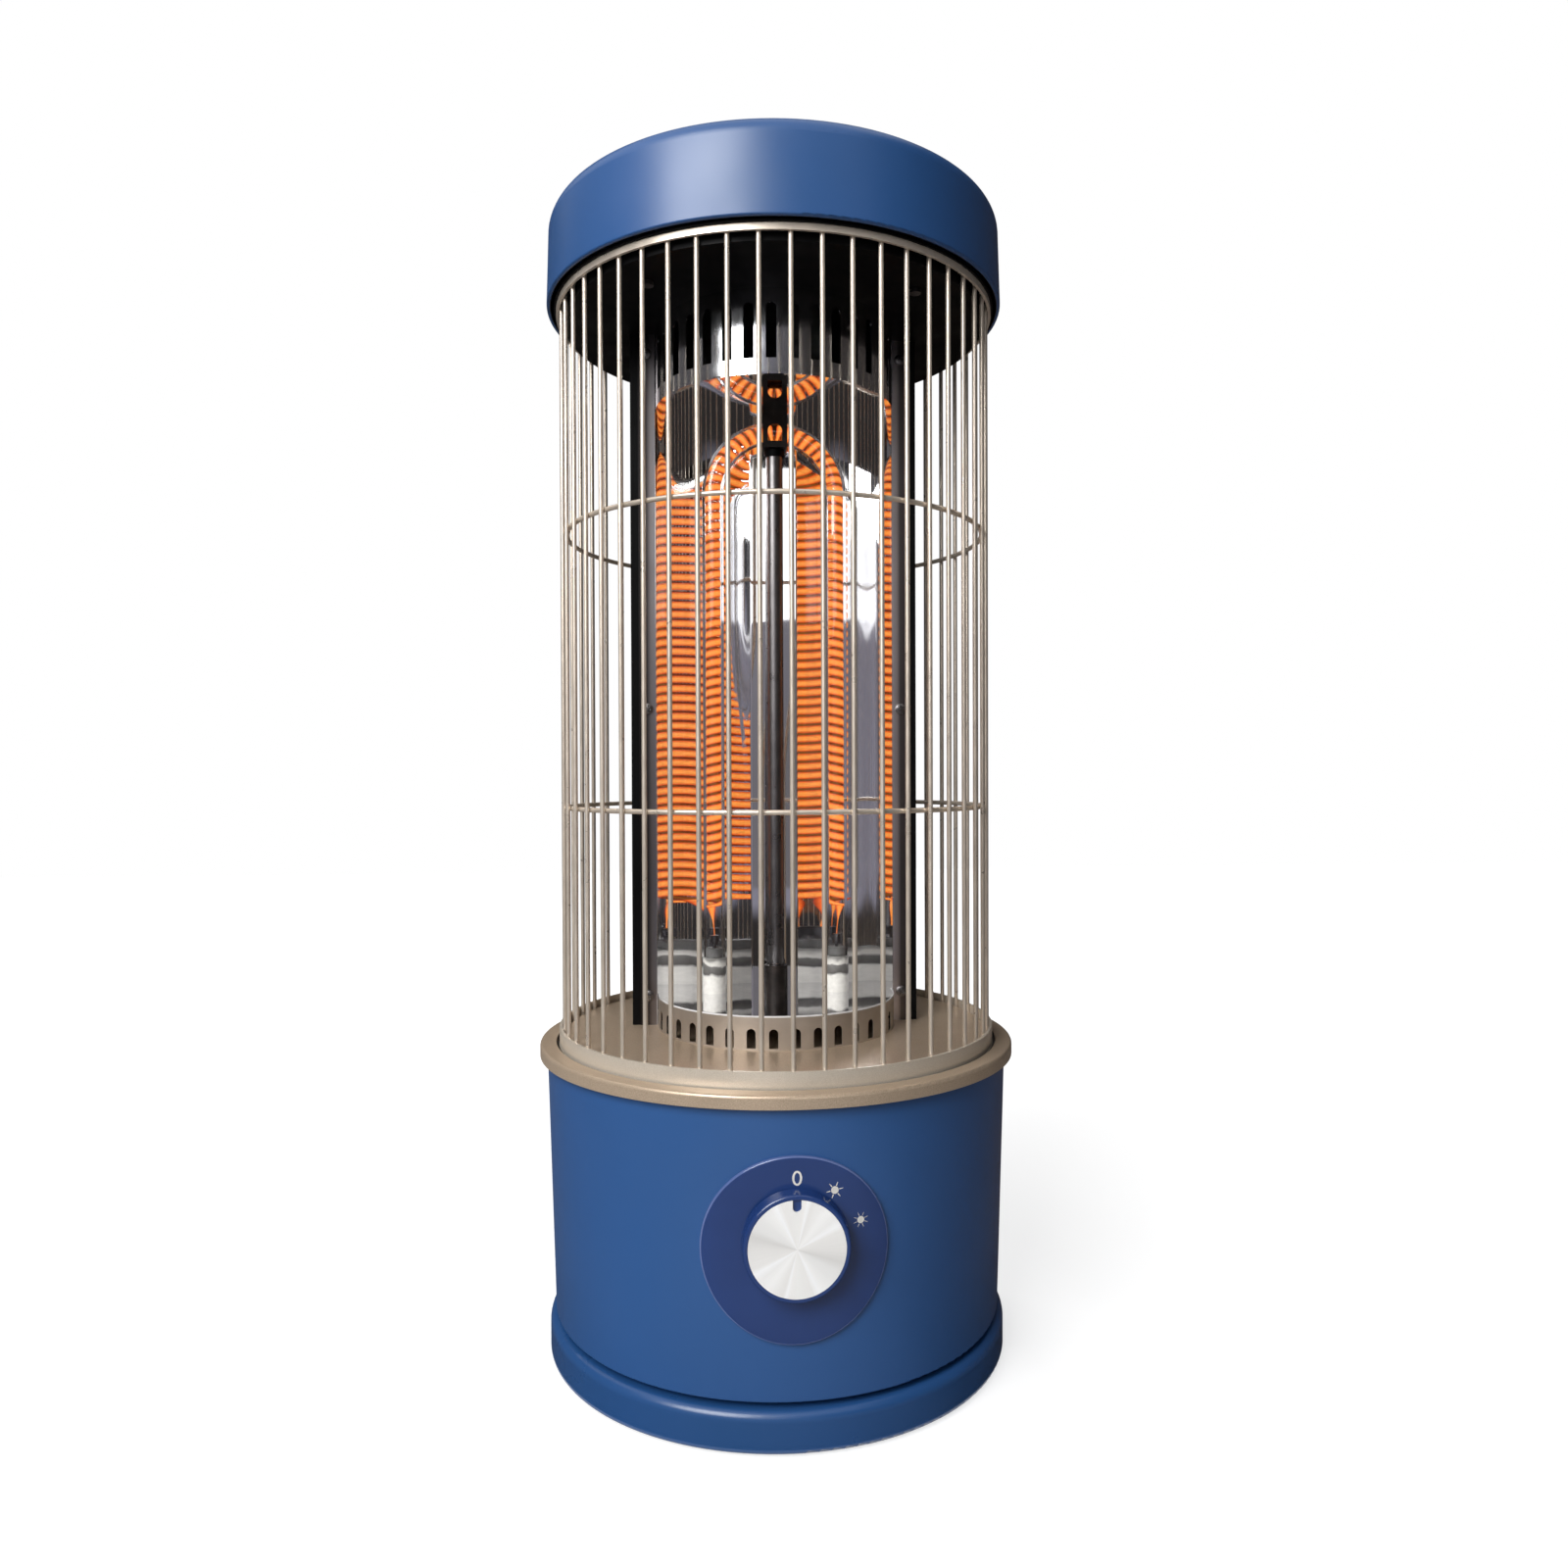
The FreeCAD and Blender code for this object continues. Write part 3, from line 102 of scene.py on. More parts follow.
# Mirror and its screws
MIRROR_INSIDE = 66.4
FLANGE_LOW, FLANGE_HIGH = corners("reflector")
TROUGH_DEPTH = FLANGE_HIGH[1] - SHEET
RIDGE_RISE = 6.0
DISC_HIGH = corners("lower_mirror_disc")[1]
DISC_RADIUS = DISC_HIGH[0]
MIRROR_LOW = DISC_HIGH[2]
MIRROR_HIGH = corners("upper_mirror_disc")[0][2]
SCREW_LOW, SCREW_HIGH = corners("reflector_screws")
SCREW_HEAD_RADIUS = 3.0
SCREW_HEAD = -SCREW_LOW[1]
SCREW_RADIUS = 1.5
SCREW_MIDDLE_RISE = 160.0

# Dial's print: places across and up from the knob's axis, and how far the film lies over and under the face
NOUGHT_PLACE = (0.6, 29.6)
FULL_SUN_PLACE = (17.9, 23.2)
HALF_SUN_PLACE = (30.1, 8.2)
PRINT_RISE = 0.05
PRINT_DEPTH = 0.1

# Camera: focal length in pixels of a 1600 pixel frame, place and sensor in millimetres, angles in degrees
FRAME_PIXELS = 1600
FOCAL_PIXELS = 1151.4
SENSOR_WIDTH = 36.0
CAMERA_PLACE = (-43.04, -633.22, 311.11)
CAMERA_YAW = -4.331
CAMERA_PITCH = -0.490
CAMERA_ROLL = 0.205

# Stage, in metres
FLOOR_HALF = 3
ROOM_HALF = 2.4
LOW_WALL = 2.2
HIGH_WALL = 5.0
GROUND_LEVEL = 0.004

# Name of the UV map on meshes that have one
UV_NAME = "along"


def srgb(code):
    """Linear colour of a six-digit sRGB code."""
    part = np.array([int(code[i:i + 2], 16) for i in (0, 2, 4)]) / 255
    linear = np.where(part <= 0.04045, part / 12.92, ((part + 0.055) / 1.055) ** 2.4)
    return tuple(float(v) for v in linear) + (1.0,)


def grey(value):
    """Linear grey."""
    return (value, value, value, 1.0)


# Meshes

def skin(name, points, slot, body, wrap_rows=False, wrap_columns=False, uv=None, crease=40):
    """Mesh over a grid of points in millimetres, rows by columns, four corners to a face; a wrapped side
    joins the last row or column to the first. uv is a grid of the same shape, kept on the faces' corners.
    Points that fall together are welded, faces are turned outwards, and edges sharper than the crease, in
    degrees, stay sharp."""
    rows, columns = points.shape[:2]
    index = np.arange(rows * columns).reshape(rows, columns)
    down = np.concatenate([index, index[:1]]) if wrap_rows else index
    both = np.concatenate([down, down[:, :1]], axis=1) if wrap_columns else down
    faces = np.stack([both[:-1, :-1], both[:-1, 1:], both[1:, 1:], both[1:, :-1]], -1).reshape(-1, 4)
    mesh = bpy.data.meshes.new(name)
    mesh.from_pydata((points.reshape(-1, 3) * MM).tolist(), [], faces.tolist())
    if uv is not None:
        layer = mesh.uv_layers.new(name=UV_NAME)
        layer.data.foreach_set("uv", uv.reshape(-1, 2)[faces.ravel()].astype(np.float32).ravel())
    work = bmesh.new()
    work.from_mesh(mesh)
    bmesh.ops.remove_doubles(work, verts=work.verts, dist=0.002 * MM)
    bmesh.ops.recalc_face_normals(work, faces=work.faces)
    work.to_mesh(mesh)
    work.free()
    mesh.polygons.foreach_set("use_smooth", np.full(len(mesh.polygons), True))
    mesh.set_sharp_from_angle(angle=math.radians(crease))
    made = bpy.data.objects.new(name, mesh)
    bpy.context.scene.collection.objects.link(made)
    mesh.materials.append(FINISHES[slot])
    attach(made, body)
    return made


def drawn_in(points):
    """The grid with one more row at each end, drawn together to the middle of the end row, so that the ends
    close."""
    ends = [np.broadcast_to(row.mean(0), row.shape)[None] for row in (points[0], points[-1])]
    return np.concatenate([ends[0], points, ends[1]])


# Node materials

class Finish:
    """One node material around a Principled shader, with short calls for the patterns that the finishes
    share."""

    def __init__(self, name, colour, roughness, **sockets):
        self.material = bpy.data.materials.new(name)
        self.material.use_nodes = True
        self.tree = self.material.node_tree
        self.shader = self.tree.nodes["Principled BSDF"]
        self.set("Base Color", colour)
        self.set("Roughness", roughness)
        for socket, value in sockets.items():
            self.set(socket.replace("_", " "), value)
        self.place = self.node("ShaderNodeTexCoord").outputs["Object"]

    def link(self, source, target):
        """Links an output to an input; a plain value is set on the input itself."""
        if isinstance(source, bpy.types.NodeSocket):
            self.tree.links.new(source, target)
        else:
            target.default_value = source

    def set(self, socket, source):
        """Puts an output or a plain value on one of the shader's own sockets."""
        self.link(source, self.shader.inputs[socket])

    def node(self, kind, **settings):
        """New node with settings and plain input values by name."""
        made = self.tree.nodes.new(kind)
        for name, value in settings.items():
            if name in made.bl_rna.properties:
                setattr(made, name, value)
            else:
                made.inputs[name.replace("_", " ")].default_value = value
        return made

    def mapped(self, scale=(1, 1, 1), shift=(0, 0, 0)):
        """Object coordinates, moved and scaled."""
        mapping = self.node("ShaderNodeMapping")
        mapping.inputs["Location"].default_value = shift
        mapping.inputs["Scale"].default_value = scale
        self.link(self.place, mapping.inputs["Vector"])
        return mapping.outputs["Vector"]

    def split(self, vector=None):
        """X, Y and Z of the object coordinates or of another vector."""
        made = self.node("ShaderNodeSeparateXYZ")
        self.link(vector or self.place, made.inputs["Vector"])
        return made.outputs

    def away(self, middle=(0, 0, 0), use=(1, 1, 0)):
        """Distance from a middle point, in metres, over the axes in use."""
        flat = self.node("ShaderNodeVectorMath", operation="MULTIPLY")
        self.link(self.mapped(shift=tuple(-v for v in middle)), flat.inputs[0])
        flat.inputs[1].default_value = use
        length = self.node("ShaderNodeVectorMath", operation="LENGTH")
        self.link(flat.outputs["Vector"], length.inputs[0])
        return length.outputs["Value"]

    def noise(self, scale, detail=3.0, vector=None):
        """Noise on object coordinates, in cells per metre."""
        made = self.node("ShaderNodeTexNoise", Scale=scale, Detail=detail)
        self.link(vector or self.place, made.inputs["Vector"])
        return made.outputs["Fac"]

    def maths(self, operation, *terms):
        """Result of a math node; each term is an output or a plain number."""
        made = self.node("ShaderNodeMath", operation=operation)
        for term, socket in zip(terms, made.inputs):
            self.link(term, socket)
        return made.outputs["Value"]

    def times(self, product, *factors):
        """Product of factors."""
        for factor in factors:
            product = self.maths("MULTIPLY", product, factor)
        return product

    def span(self, factor, low, high, start=0.3, end=0.7):
        """A factor stretched from start and end to low and high, and held there beyond them."""
        made = self.node("ShaderNodeMapRange", From_Min=start, From_Max=end, To_Min=low, To_Max=high)
        self.link(factor, made.inputs["Value"])
        return made.outputs["Result"]

    def beyond(self, length, start, width):
        """Mask that goes from 0 to 1 over a width past a start, both in millimetres, as a length in metres
        grows."""
        return self.span(length, 0.0, 1.0, start * MM, (start + width) * MM)

    def short_of(self, length, start, width):
        """Mask that goes from 1 to 0 over a width past a start, both in millimetres, as a length in metres
        grows."""
        return self.span(length, 1.0, 0.0, start * MM, (start + width) * MM)

    def opposite(self, mask):
        """1 less a mask."""
        return self.span(mask, 1.0, 0.0, 0.0, 1.0)

    def ramp(self, factor, stops):
        """Colour ramp with stops as (place, colour)."""
        made = self.node("ShaderNodeValToRGB")
        band = made.color_ramp
        while len(band.elements) < len(stops):
            band.elements.new(0.5)
        for element, (place, colour) in zip(band.elements, stops):
            element.position = place
            element.color = colour
        self.link(factor, made.inputs["Fac"])
        return made.outputs["Color"]

    def tones(self, factor, first, second):
        """Colour that goes from the first to the second as a factor goes from 0.3 to 0.7."""
        return self.ramp(factor, [(0.3, first), (0.7, second)])

    def blend(self, factor, first, second, blend_type="MIX"):
        """Mix of two colours by a factor: as it goes from 0 to 1 the mix goes from the first colour to the
        second, or to both joined in the way that blend_type says."""
        made = self.node("ShaderNodeMix", data_type="RGBA", blend_type=blend_type)
        self.link(factor, made.inputs["Factor"])
        self.link(first, made.inputs["A"])
        self.link(second, made.inputs["B"])
        return made.outputs["Result"]

    def tinted(self, colour, tint):
        """Product of a colour and another colour or factor."""
        return self.blend(1.0, colour, tint, "MULTIPLY")

    def vary(self, colour, factor, amount):
        """The base colour, darker and lighter by an amount as a factor goes from 0.3 to 0.7."""
        dark = tuple(v * (1 - amount) for v in colour[:3]) + (1.0,)
        light = tuple(min(1.0, v * (1 + amount)) for v in colour[:3]) + (1.0,)
        self.set("Base Color", self.tones(factor, dark, light))

    def rough(self, factor, low, high):
        """Roughness between two values as a factor goes from 0.3 to 0.7."""
        self.set("Roughness", self.span(factor, low, high))

    def bump(self, height, depth, strength=0.5):
        """Bump of a height pattern, its depth in millimetres."""
        made = self.node("ShaderNodeBump", Strength=strength, Distance=depth * MM)
        self.link(height, made.inputs["Height"])
        self.set("Normal", made.outputs["Normal"])


def blue_shell():
    """Satin blue paint with a faint orange peel and cloudy gloss. Painted shade makes it a shade deeper on
    the cap and the foot and black inside the cap; it is glossier on the foot."""
    hem_margin = 2.0
    top_margin = 12.0
    wall_margin = 0.2
    foot_gloss = 0.06
    made = Finish("blue_shell", srgb("2b568e"), 0.36, Specular_IOR_Level=0.6)
    cloud = made.noise(9, 4)
    paint = made.tones(cloud, srgb("2a548b"), srgb("2c5892"))
    # Painted shade: a deeper blue for the cap and the foot.
    deep = made.tones(cloud, srgb("244d80"), srgb("265087"))
    # Painted shade: near black for the inside of the cap wall.
    black_shade = made.tones(cloud, (0.003, 0.003, 0.004, 1.0), (0.006, 0.006, 0.007, 1.0))
    level = made.split()["Z"]
    on_cap = made.beyond(level, CAP_HEM - hem_margin, 1)
    under_top = made.short_of(level, CAP_TOP - top_margin, 1)
    within = made.short_of(made.away(), CAP_INSIDE + wall_margin, 0.2)
    on_foot = made.short_of(level, FOOT_TOP, 0.5)
    colour = made.blend(made.maths("MAXIMUM", on_cap, on_foot), paint, deep)
    made.set("Base Color", made.blend(made.times(on_cap, under_top, within), colour, black_shade))
    satin = made.span(made.noise(26, 5), 0.32, 0.40)
    made.set("Roughness", made.maths("MULTIPLY_ADD", on_foot, -foot_gloss, satin))
    made.bump(made.noise(1400, 2), 0.02, 0.25)
    return made


def champagne_tray():
    """Champagne metallic paint: fine bright flakes in a warm grey, paler on the guard's band than on the
    tray, with near black painted shade in the groove that takes the band."""
    band_depth = 3.4
    groove_shade_height = 1.0
    made = Finish("champagne_tray", srgb("c2ad96"), 0.34, Metallic=0.4)
    flakes = made.noise(2600, 1)
    tray = made.tones(flakes, srgb("b39e87"), srgb("cfbaa2"))
    band = made.tones(flakes, srgb("d3c8b8"), srgb("e2d8c9"))
    # Painted shade: near black in the groove round the guard's band.
    groove_shade = made.tones(flakes, (0.012, 0.010, 0.008, 1.0), (0.022, 0.018, 0.014, 1.0))
    reach = made.away()
    on_band = made.times(made.beyond(reach, BAND_RADIUS - band_depth, 0.2),
                         made.short_of(reach, BAND_RADIUS + 0.2, 0.2))
    in_groove = made.times(made.beyond(reach, BAND_RADIUS + 0.1, 0.1),
                           made.short_of(reach, GROOVE_RADIUS + 0.1, 0.2),
                           made.short_of(made.split()["Z"], GROOVE_FLOOR + groove_shade_height, 0.3))
    made.set("Base Color", made.blend(in_groove, made.blend(on_band, tray, band), groove_shade))
    made.rough(made.noise(40, 4), 0.28, 0.40)
    made.bump(made.noise(2200, 1), 0.01, 0.2)
    return made


def guard_paint():
    """Beige enamel dipped on wire, slightly uneven in tone and gloss."""
    colour = srgb("dccfbf")
    made = Finish("guard_paint", colour, 0.32, Metallic=0.6)
    made.vary(colour, made.noise(38, 4), 0.07)
    made.rough(made.noise(120, 3), 0.27, 0.42)
    made.bump(made.noise(700, 2), 0.03, 0.3)
    return made


def mirror_sheet():
    """Bright rolled aluminium mirror, a little wavy, with faint rolling lines. Beyond the mirror's edges,
    where it is folded to a flange, its colour is dull painted shade and reflection: a grey strip, then near
    black, darker on the left than on the right. The lower disc's rim is a pale matt edge, a painted
    highlight."""
    rim_width = 0.6
    flange_haze = 0.26
    made = Finish("mirror_sheet", (0.88, 0.88, 0.89, 1.0), 0.03, Metallic=1.0)
    axes = made.split()
    out = made.maths("ABSOLUTE", axes["X"])
    flange = made.beyond(out, MIRROR_INSIDE, 0.3)
    lines = made.noise(60, 3, made.mapped(scale=(6, 6, 0.15)))
    sheet = made.tones(lines, (0.84, 0.84, 0.85, 1.0), (0.90, 0.90, 0.91, 1.0))
    # Painted highlight: pale colour for the lower disc's rim.
    pale = made.tones(lines, (0.80, 0.80, 0.81, 1.0), (0.88, 0.88, 0.89, 1.0))
    outward = made.span(out, 0.0, 1.0, MIRROR_INSIDE * MM, FLANGE_HIGH[0] * MM)
    # Painted shade and reflection on the flanges: a grey strip, then near black.
    flange_shade = made.ramp(outward, [(0.0, (0.42, 0.40, 0.42, 1.0)), (0.3, (0.32, 0.29, 0.29, 1.0)),
                               (0.5, (0.09, 0.08, 0.08, 1.0)), (1.0, (0.04, 0.036, 0.036, 1.0))])
    # Painted shade: the flanges darker on the left than on the right.
    flange_side_shade = made.span(axes["X"], 0.65, 1.8, -MIRROR_INSIDE * MM, MIRROR_INSIDE * MM)
    # Painted highlight: mask of the lower disc's pale rim.
    rim = made.times(made.beyond(made.away(), DISC_RADIUS - rim_width, 0.2),
                     made.short_of(axes["Z"], MIRROR_LOW + 0.1, 0.1),
                     made.opposite(flange))
    made.set("Base Color", made.blend(rim, made.blend(flange, sheet, made.tinted(flange_shade, flange_side_shade)), pale))
    made.set("Metallic", made.opposite(rim))
    polish = made.span(made.noise(30, 4), 0.015, 0.045)
    made.set("Roughness", made.maths("MULTIPLY_ADD", flange, flange_haze, polish))
    made.bump(made.noise(16, 1, made.mapped(scale=(1, 1, 0.35))), 0.5, 0.3)
    return made


def chrome_collar():
    """Chromed sheet with a light polish haze."""
    colour = (0.70, 0.71, 0.73, 1.0)
    made = Finish("chrome_collar", colour, 0.12, Metallic=1.0)
    made.vary(colour, made.noise(50, 3), 0.05)
    made.rough(made.noise(90, 4), 0.08, 0.18)
    made.bump(made.noise(24, 1), 0.4, 0.25)
    return made


def collar_paint():
    """Satin silver-beige paint with a metal sheen on the lower collar, and black painted shade inside."""
    wall_margin = 0.3
    made = Finish("collar_paint", srgb("c8beb2"), 0.5, Metallic=0.85)
    cloud = made.noise(70, 4)
    paint = made.tones(cloud, srgb("b9aea2"), srgb("c7bdb1"))
    # Painted shade: near black for the inside of the collar.
    black_shade = made.tones(cloud, (0.005, 0.004, 0.004, 1.0), (0.009, 0.008, 0.007, 1.0))
    outside = made.beyond(made.away(), COLLAR_INSIDE + wall_margin, 0.2)
    made.set("Base Color", made.blend(outside, black_shade, paint))
    made.rough(made.noise(120, 3), 0.46, 0.56)
    made.bump(made.noise(1500, 1), 0.01, 0.25)
    return made


def black_sheet():
    """Heat-proof black paint with a dusty, uneven sheen."""
    colour = (0.0022, 0.0022, 0.0025, 1.0)
    made = Finish("black_sheet", colour, 0.5, Specular_IOR_Level=0.09)
    made.vary(colour, made.noise(22, 4), 0.35)
    made.rough(made.noise(45, 4), 0.42, 0.62)
    made.bump(made.noise(1800, 2), 0.03, 0.3)
    return made


def quartz():
    """Clear fused quartz with faint drawing lines."""
    made = Finish("quartz", (0.97, 0.98, 1.0, 1.0), 0.01, IOR=1.46, Transmission_Weight=1.0)
    made.bump(made.noise(220, 1, made.mapped(scale=(1, 1, 0.02))), 0.05, 0.12)
    return made


def carbon():
    """Carbon ribbon in use: orange in the middle of its width, deep red at its edges, duller inside the coil
    by painted shade, with darker fibres along it. The UV map gives the side of the strip and the place
    across it."""
    edge = srgb("9c300e")
    warm = srgb("ea6222")
    hot = srgb("ff9c44")
    made = Finish("carbon", (0.03, 0.012, 0.008, 1.0), 0.7)
    strip = made.split(made.node("ShaderNodeUVMap", uv_map=UV_NAME).outputs["UV"])
    glow = made.ramp(strip["Y"], [(0.0, edge), (0.12, warm), (0.36, hot),
                                  (0.64, hot), (0.88, warm), (1.0, edge)])
    fibres = made.span(made.noise(900, 3, made.mapped(scale=(1, 1, 3))), 0.72, 1.1)
    # Painted shade: the strip's side inside the coil glows dimmer.
    inside = made.span(strip["X"], 1.0, 0.2, 0.0, 1.0)
    made.set("Emission Color", made.tinted(glow, made.times(fibres, inside)))
    made.set("Emission Strength", 1.3)
    return made


def ceramic():
    """Unglazed white steatite, chalky with faint specks, darker in uneven bands round its upper half."""
    marked_height = 25.0
    waviness = 0.36
    made = Finish("ceramic", srgb("ebe8e0"), 0.6)
    speck = made.noise(400, 4)
    white = made.tones(speck, srgb("e2dfd8"), srgb("f2efe8"))
    mark = made.tones(speck, srgb("24201f"), srgb("3a3535"))
    level = made.beyond(made.split()["Z"], MIRROR_LOW, marked_height)
    wavy = made.maths("MULTIPLY_ADD", made.noise(90, 3), waviness, level)
    # Darker bands round the upper half.
    rings = made.ramp(wavy, [
        (0.0, grey(0.15)), (0.30, grey(0.0)), (0.56, grey(0.0)), (0.62, grey(0.9)),
        (0.78, grey(0.8)), (0.82, grey(0.05)), (0.88, grey(0.1)), (0.95, grey(0.7))])
    made.set("Base Color", made.blend(rings, white, mark))
    made.rough(made.noise(300, 3), 0.5, 0.7)
    made.bump(made.noise(1600, 3), 0.04, 0.4)
    return made


def steel():
    """Dull grey steel with fine drawing lines up its length."""
    colour = (0.20, 0.19, 0.19, 1.0)
    made = Finish("steel", colour, 0.3, Metallic=1.0)
    lines = made.noise(900, 2, made.mapped(scale=(1, 1, 0.02)))
    made.vary(colour, lines, 0.12)
    made.rough(made.noise(150, 3), 0.26, 0.36)
    made.bump(lines, 0.01, 0.2)
    return made


def dark_steel():
    """Heat-browned steel, blotchy from brown to near black."""
    made = Finish("dark_steel", (0.02, 0.014, 0.012, 1.0), 0.42, Metallic=0.6)
    cloud = made.noise(120, 5)
    tones = [(0.3, srgb("191513")), (0.55, srgb("2a2421")), (0.75, srgb("3e3530"))]
    made.set("Base Color", made.ramp(cloud, tones))
    made.rough(made.noise(260, 3), 0.34, 0.55)
    made.bump(made.noise(1100, 2), 0.02, 0.3)
    return made


def navy_plastic():
    """Glossy navy moulding with a thin pale line where the dial plate's edge catches light."""
    line_width = 0.75
    made = Finish("navy_plastic", srgb("213a70"), 0.16, Coat_Weight=0.3, Coat_Roughness=0.05)
    cloud = made.noise(24, 3)
    plain = made.tones(cloud, srgb("1f376b"), srgb("243e76"))
    pale = made.tones(cloud, srgb("56689c"), srgb("6d7cab"))
    reach = made.away((0, 0, DIAL_LEVEL * MM), (1, 0, 1))
    made.set("Base Color", made.blend(made.beyond(reach, DIAL_RADIUS - line_width, 0.25), plain, pale))
    made.rough(made.noise(60, 3), 0.12, 0.22)
    made.bump(made.noise(40, 1), 0.1, 0.06)
    return made


def spun_aluminium():
    """Spun disc with painted reflection streaks: brightness by the angle round the knob's axis, the same on
    opposite sides, with fine radial hairlines."""
    made = Finish("spun_aluminium", (0.95, 0.95, 0.94, 1.0), 0.3)
    axes = made.split(made.mapped(shift=(0, 0, -KNOB_LEVEL * MM)))
    angle = made.maths("ARCTAN2", axes["X"], axes["Z"])
    half_turn = made.maths("FLOORED_MODULO", made.maths("DIVIDE", angle, math.pi), 1.0)
    # Painted reflection: streaks of brightness by the angle round the knob's axis.
    painted_shine = made.ramp(half_turn, [
        (0.00, srgb("f6f5f2")), (0.05, srgb("f7f5f2")), (0.075, srgb("ffffff")), (0.10, srgb("f0eeeb")),
        (0.21, srgb("fdfcfa")), (0.29, srgb("f6f5f3")), (0.34, srgb("ffffff")), (0.375, srgb("f2f0ed")),
        (0.52, srgb("ebe9e6")), (0.60, srgb("dedcd9")), (0.66, srgb("edecea")), (0.72, srgb("f0efed")),
        (0.81, srgb("f9f8f6")), (0.855, srgb("ffffff")), (0.895, srgb("f3f1ee")), (1.0, srgb("f6f5f2"))])
    noise = made.node("ShaderNodeTexNoise", noise_dimensions="1D", Scale=140.0, Detail=3.0)
    made.link(angle, noise.inputs["W"])
    hair = noise.outputs["Fac"]
    made.set("Base Color", made.tinted(painted_shine, made.span(hair, 0.94, 1.04)))
    made.rough(hair, 0.24, 0.36)
    return made


def black_plastic():
    """Black moulding with a fine spark-eroded texture."""
    colour = (0.02, 0.02, 0.021, 1.0)
    made = Finish("black_plastic", colour, 0.5)
    made.vary(colour, made.noise(60, 3), 0.25)
    made.rough(made.noise(90, 3), 0.42, 0.6)
    made.bump(made.noise(1500, 2), 0.08, 0.5)
    return made


def switch_plastic():
    """Ivory moulding with a soft gloss and small flow marks."""
    colour = srgb("ddd6c4")
    made = Finish("switch_plastic", colour, 0.42)
    made.vary(colour, made.noise(50, 4), 0.06)
    made.rough(made.noise(110, 3), 0.34, 0.5)
    made.bump(made.noise(900, 2), 0.03, 0.3)
    return made


def rubber():
    """Soft black rubber, dusty and matt."""
    colour = (0.024, 0.024, 0.024, 1.0)
    made = Finish("rubber", colour, 0.8)
    made.vary(colour, made.noise(140, 4), 0.3)
    made.rough(made.noise(200, 3), 0.7, 0.9)
    made.bump(made.noise(1300, 3), 0.06, 0.5)
    return made


def cable_jacket():
    """Glass-sleeved cable with a fine plaited surface."""
    colour = srgb("c9c8c0")
    made = Finish("cable_jacket", colour, 0.7)
    plait = made.node("ShaderNodeTexVoronoi", Scale=1600.0)
    made.link(made.place, plait.inputs["Vector"])
    made.vary(colour, made.noise(300, 3), 0.1)
    made.bump(plait.outputs["Distance"], 0.12, 0.6)
    return made


FINISH_MAKERS = (blue_shell, champagne_tray, guard_paint, mirror_sheet, chrome_collar, collar_paint,
                 black_sheet, quartz, carbon, ceramic, steel, dark_steel, navy_plastic, spun_aluminium,
                 black_plastic, switch_plastic, rubber, cable_jacket)
FINISHES = {maker.__name__: maker().material for maker in FINISH_MAKERS}


def dress_nodes():
    """Gives each CAD node the finish of its slot in the record."""
    for part in frame["record"]["subparts"]:
        mesh = frame["nodes"][part["node"]].data
        mesh.materials.clear()
        mesh.materials.append(FINISHES[part["material_slot"]])


# Lamp

def lamp_line(distance):
    """Points on the lamp's centre line and unit vectors out of the U, at distances from the left coil's
    foot: straight up the left leg, half a circle over the crown, straight down the right leg."""
    leg = CROWN_CENTRE - COIL_FOOT
    crown = math.pi * HALF_SPACING
    angle = np.clip((distance - leg) / HALF_SPACING, 0, math.pi)
    out = np.stack([-np.cos(angle), np.zeros_like(angle), np.sin(angle)], -1)
    centre = out * HALF_SPACING
    centre[:, 2] += CROWN_CENTRE
    centre[:, 2] -= np.clip(leg - distance, 0, None) + np.clip(distance - leg - crown, 0, None)
    return centre, out


def filament_ribbons():
    """Flat carbon ribbon wound round the lamp's centre line, one coil to each leg, the right one a mirror
    image of the left. Along the turns the middle of the strip is a circle of the coil's radius that moves
    one pitch a turn, from the foot to the rear of the crown's middle; across it, a thin closed loop: width
    along the line, thickness outwards. The strip narrows at its ends."""
    width_share = 0.78
    steps_a_turn = 28
    narrowing_turns = 0.6
    end_share = 0.35
    pitch = (CROWN_CENTRE - COIL_FOOT + math.pi / 2 * HALF_SPACING) / LEG_TURNS
    width = width_share * pitch
    turn = np.linspace(0, LEG_TURNS, int(LEG_TURNS * steps_a_turn) + 1)
    across = np.array([-0.5, -0.46, -0.25, 0.0, 0.25, 0.46, 0.5, 0.46, 0.25, 0.0, -0.25, -0.46])
    depth = np.array([0.0, 0.2, 0.28, 0.3, 0.28, 0.2, 0.0, -0.05, -0.05, -0.05, -0.05, -0.05])
    taper = np.clip(np.minimum(turn, LEG_TURNS - turn) / narrowing_turns, end_share, 1)
    distance = turn[:, None] * pitch + across[None, :] * width * taper[:, None]
    centre, out = lamp_line(distance.ravel())
    angle = np.repeat(TAU * turn, len(across))
    radius = COIL_OUTSIDE - depth.max() + np.tile(depth, len(turn))
    front = np.array([0.0, -1.0, 0.0])
    points = centre + radius[:, None] * (np.cos(angle)[:, None] * out + np.sin(angle)[:, None] * front)
    grid = drawn_in(points.reshape(len(turn), len(across), 3))
    rear = np.where(depth < 0, 1.0, 0.0)
    uv = drawn_in(np.broadcast_to(np.stack([rear, across + 0.5], -1), (len(turn), len(across), 2)))
    left = skin("left_filament_ribbon", grid, "carbon", "heater", wrap_columns=True, uv=uv)
    skin("right_filament_ribbon", grid * [-1, 1, 1], "carbon", "heater", wrap_columns=True, uv=uv)
    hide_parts("carbon_filament")


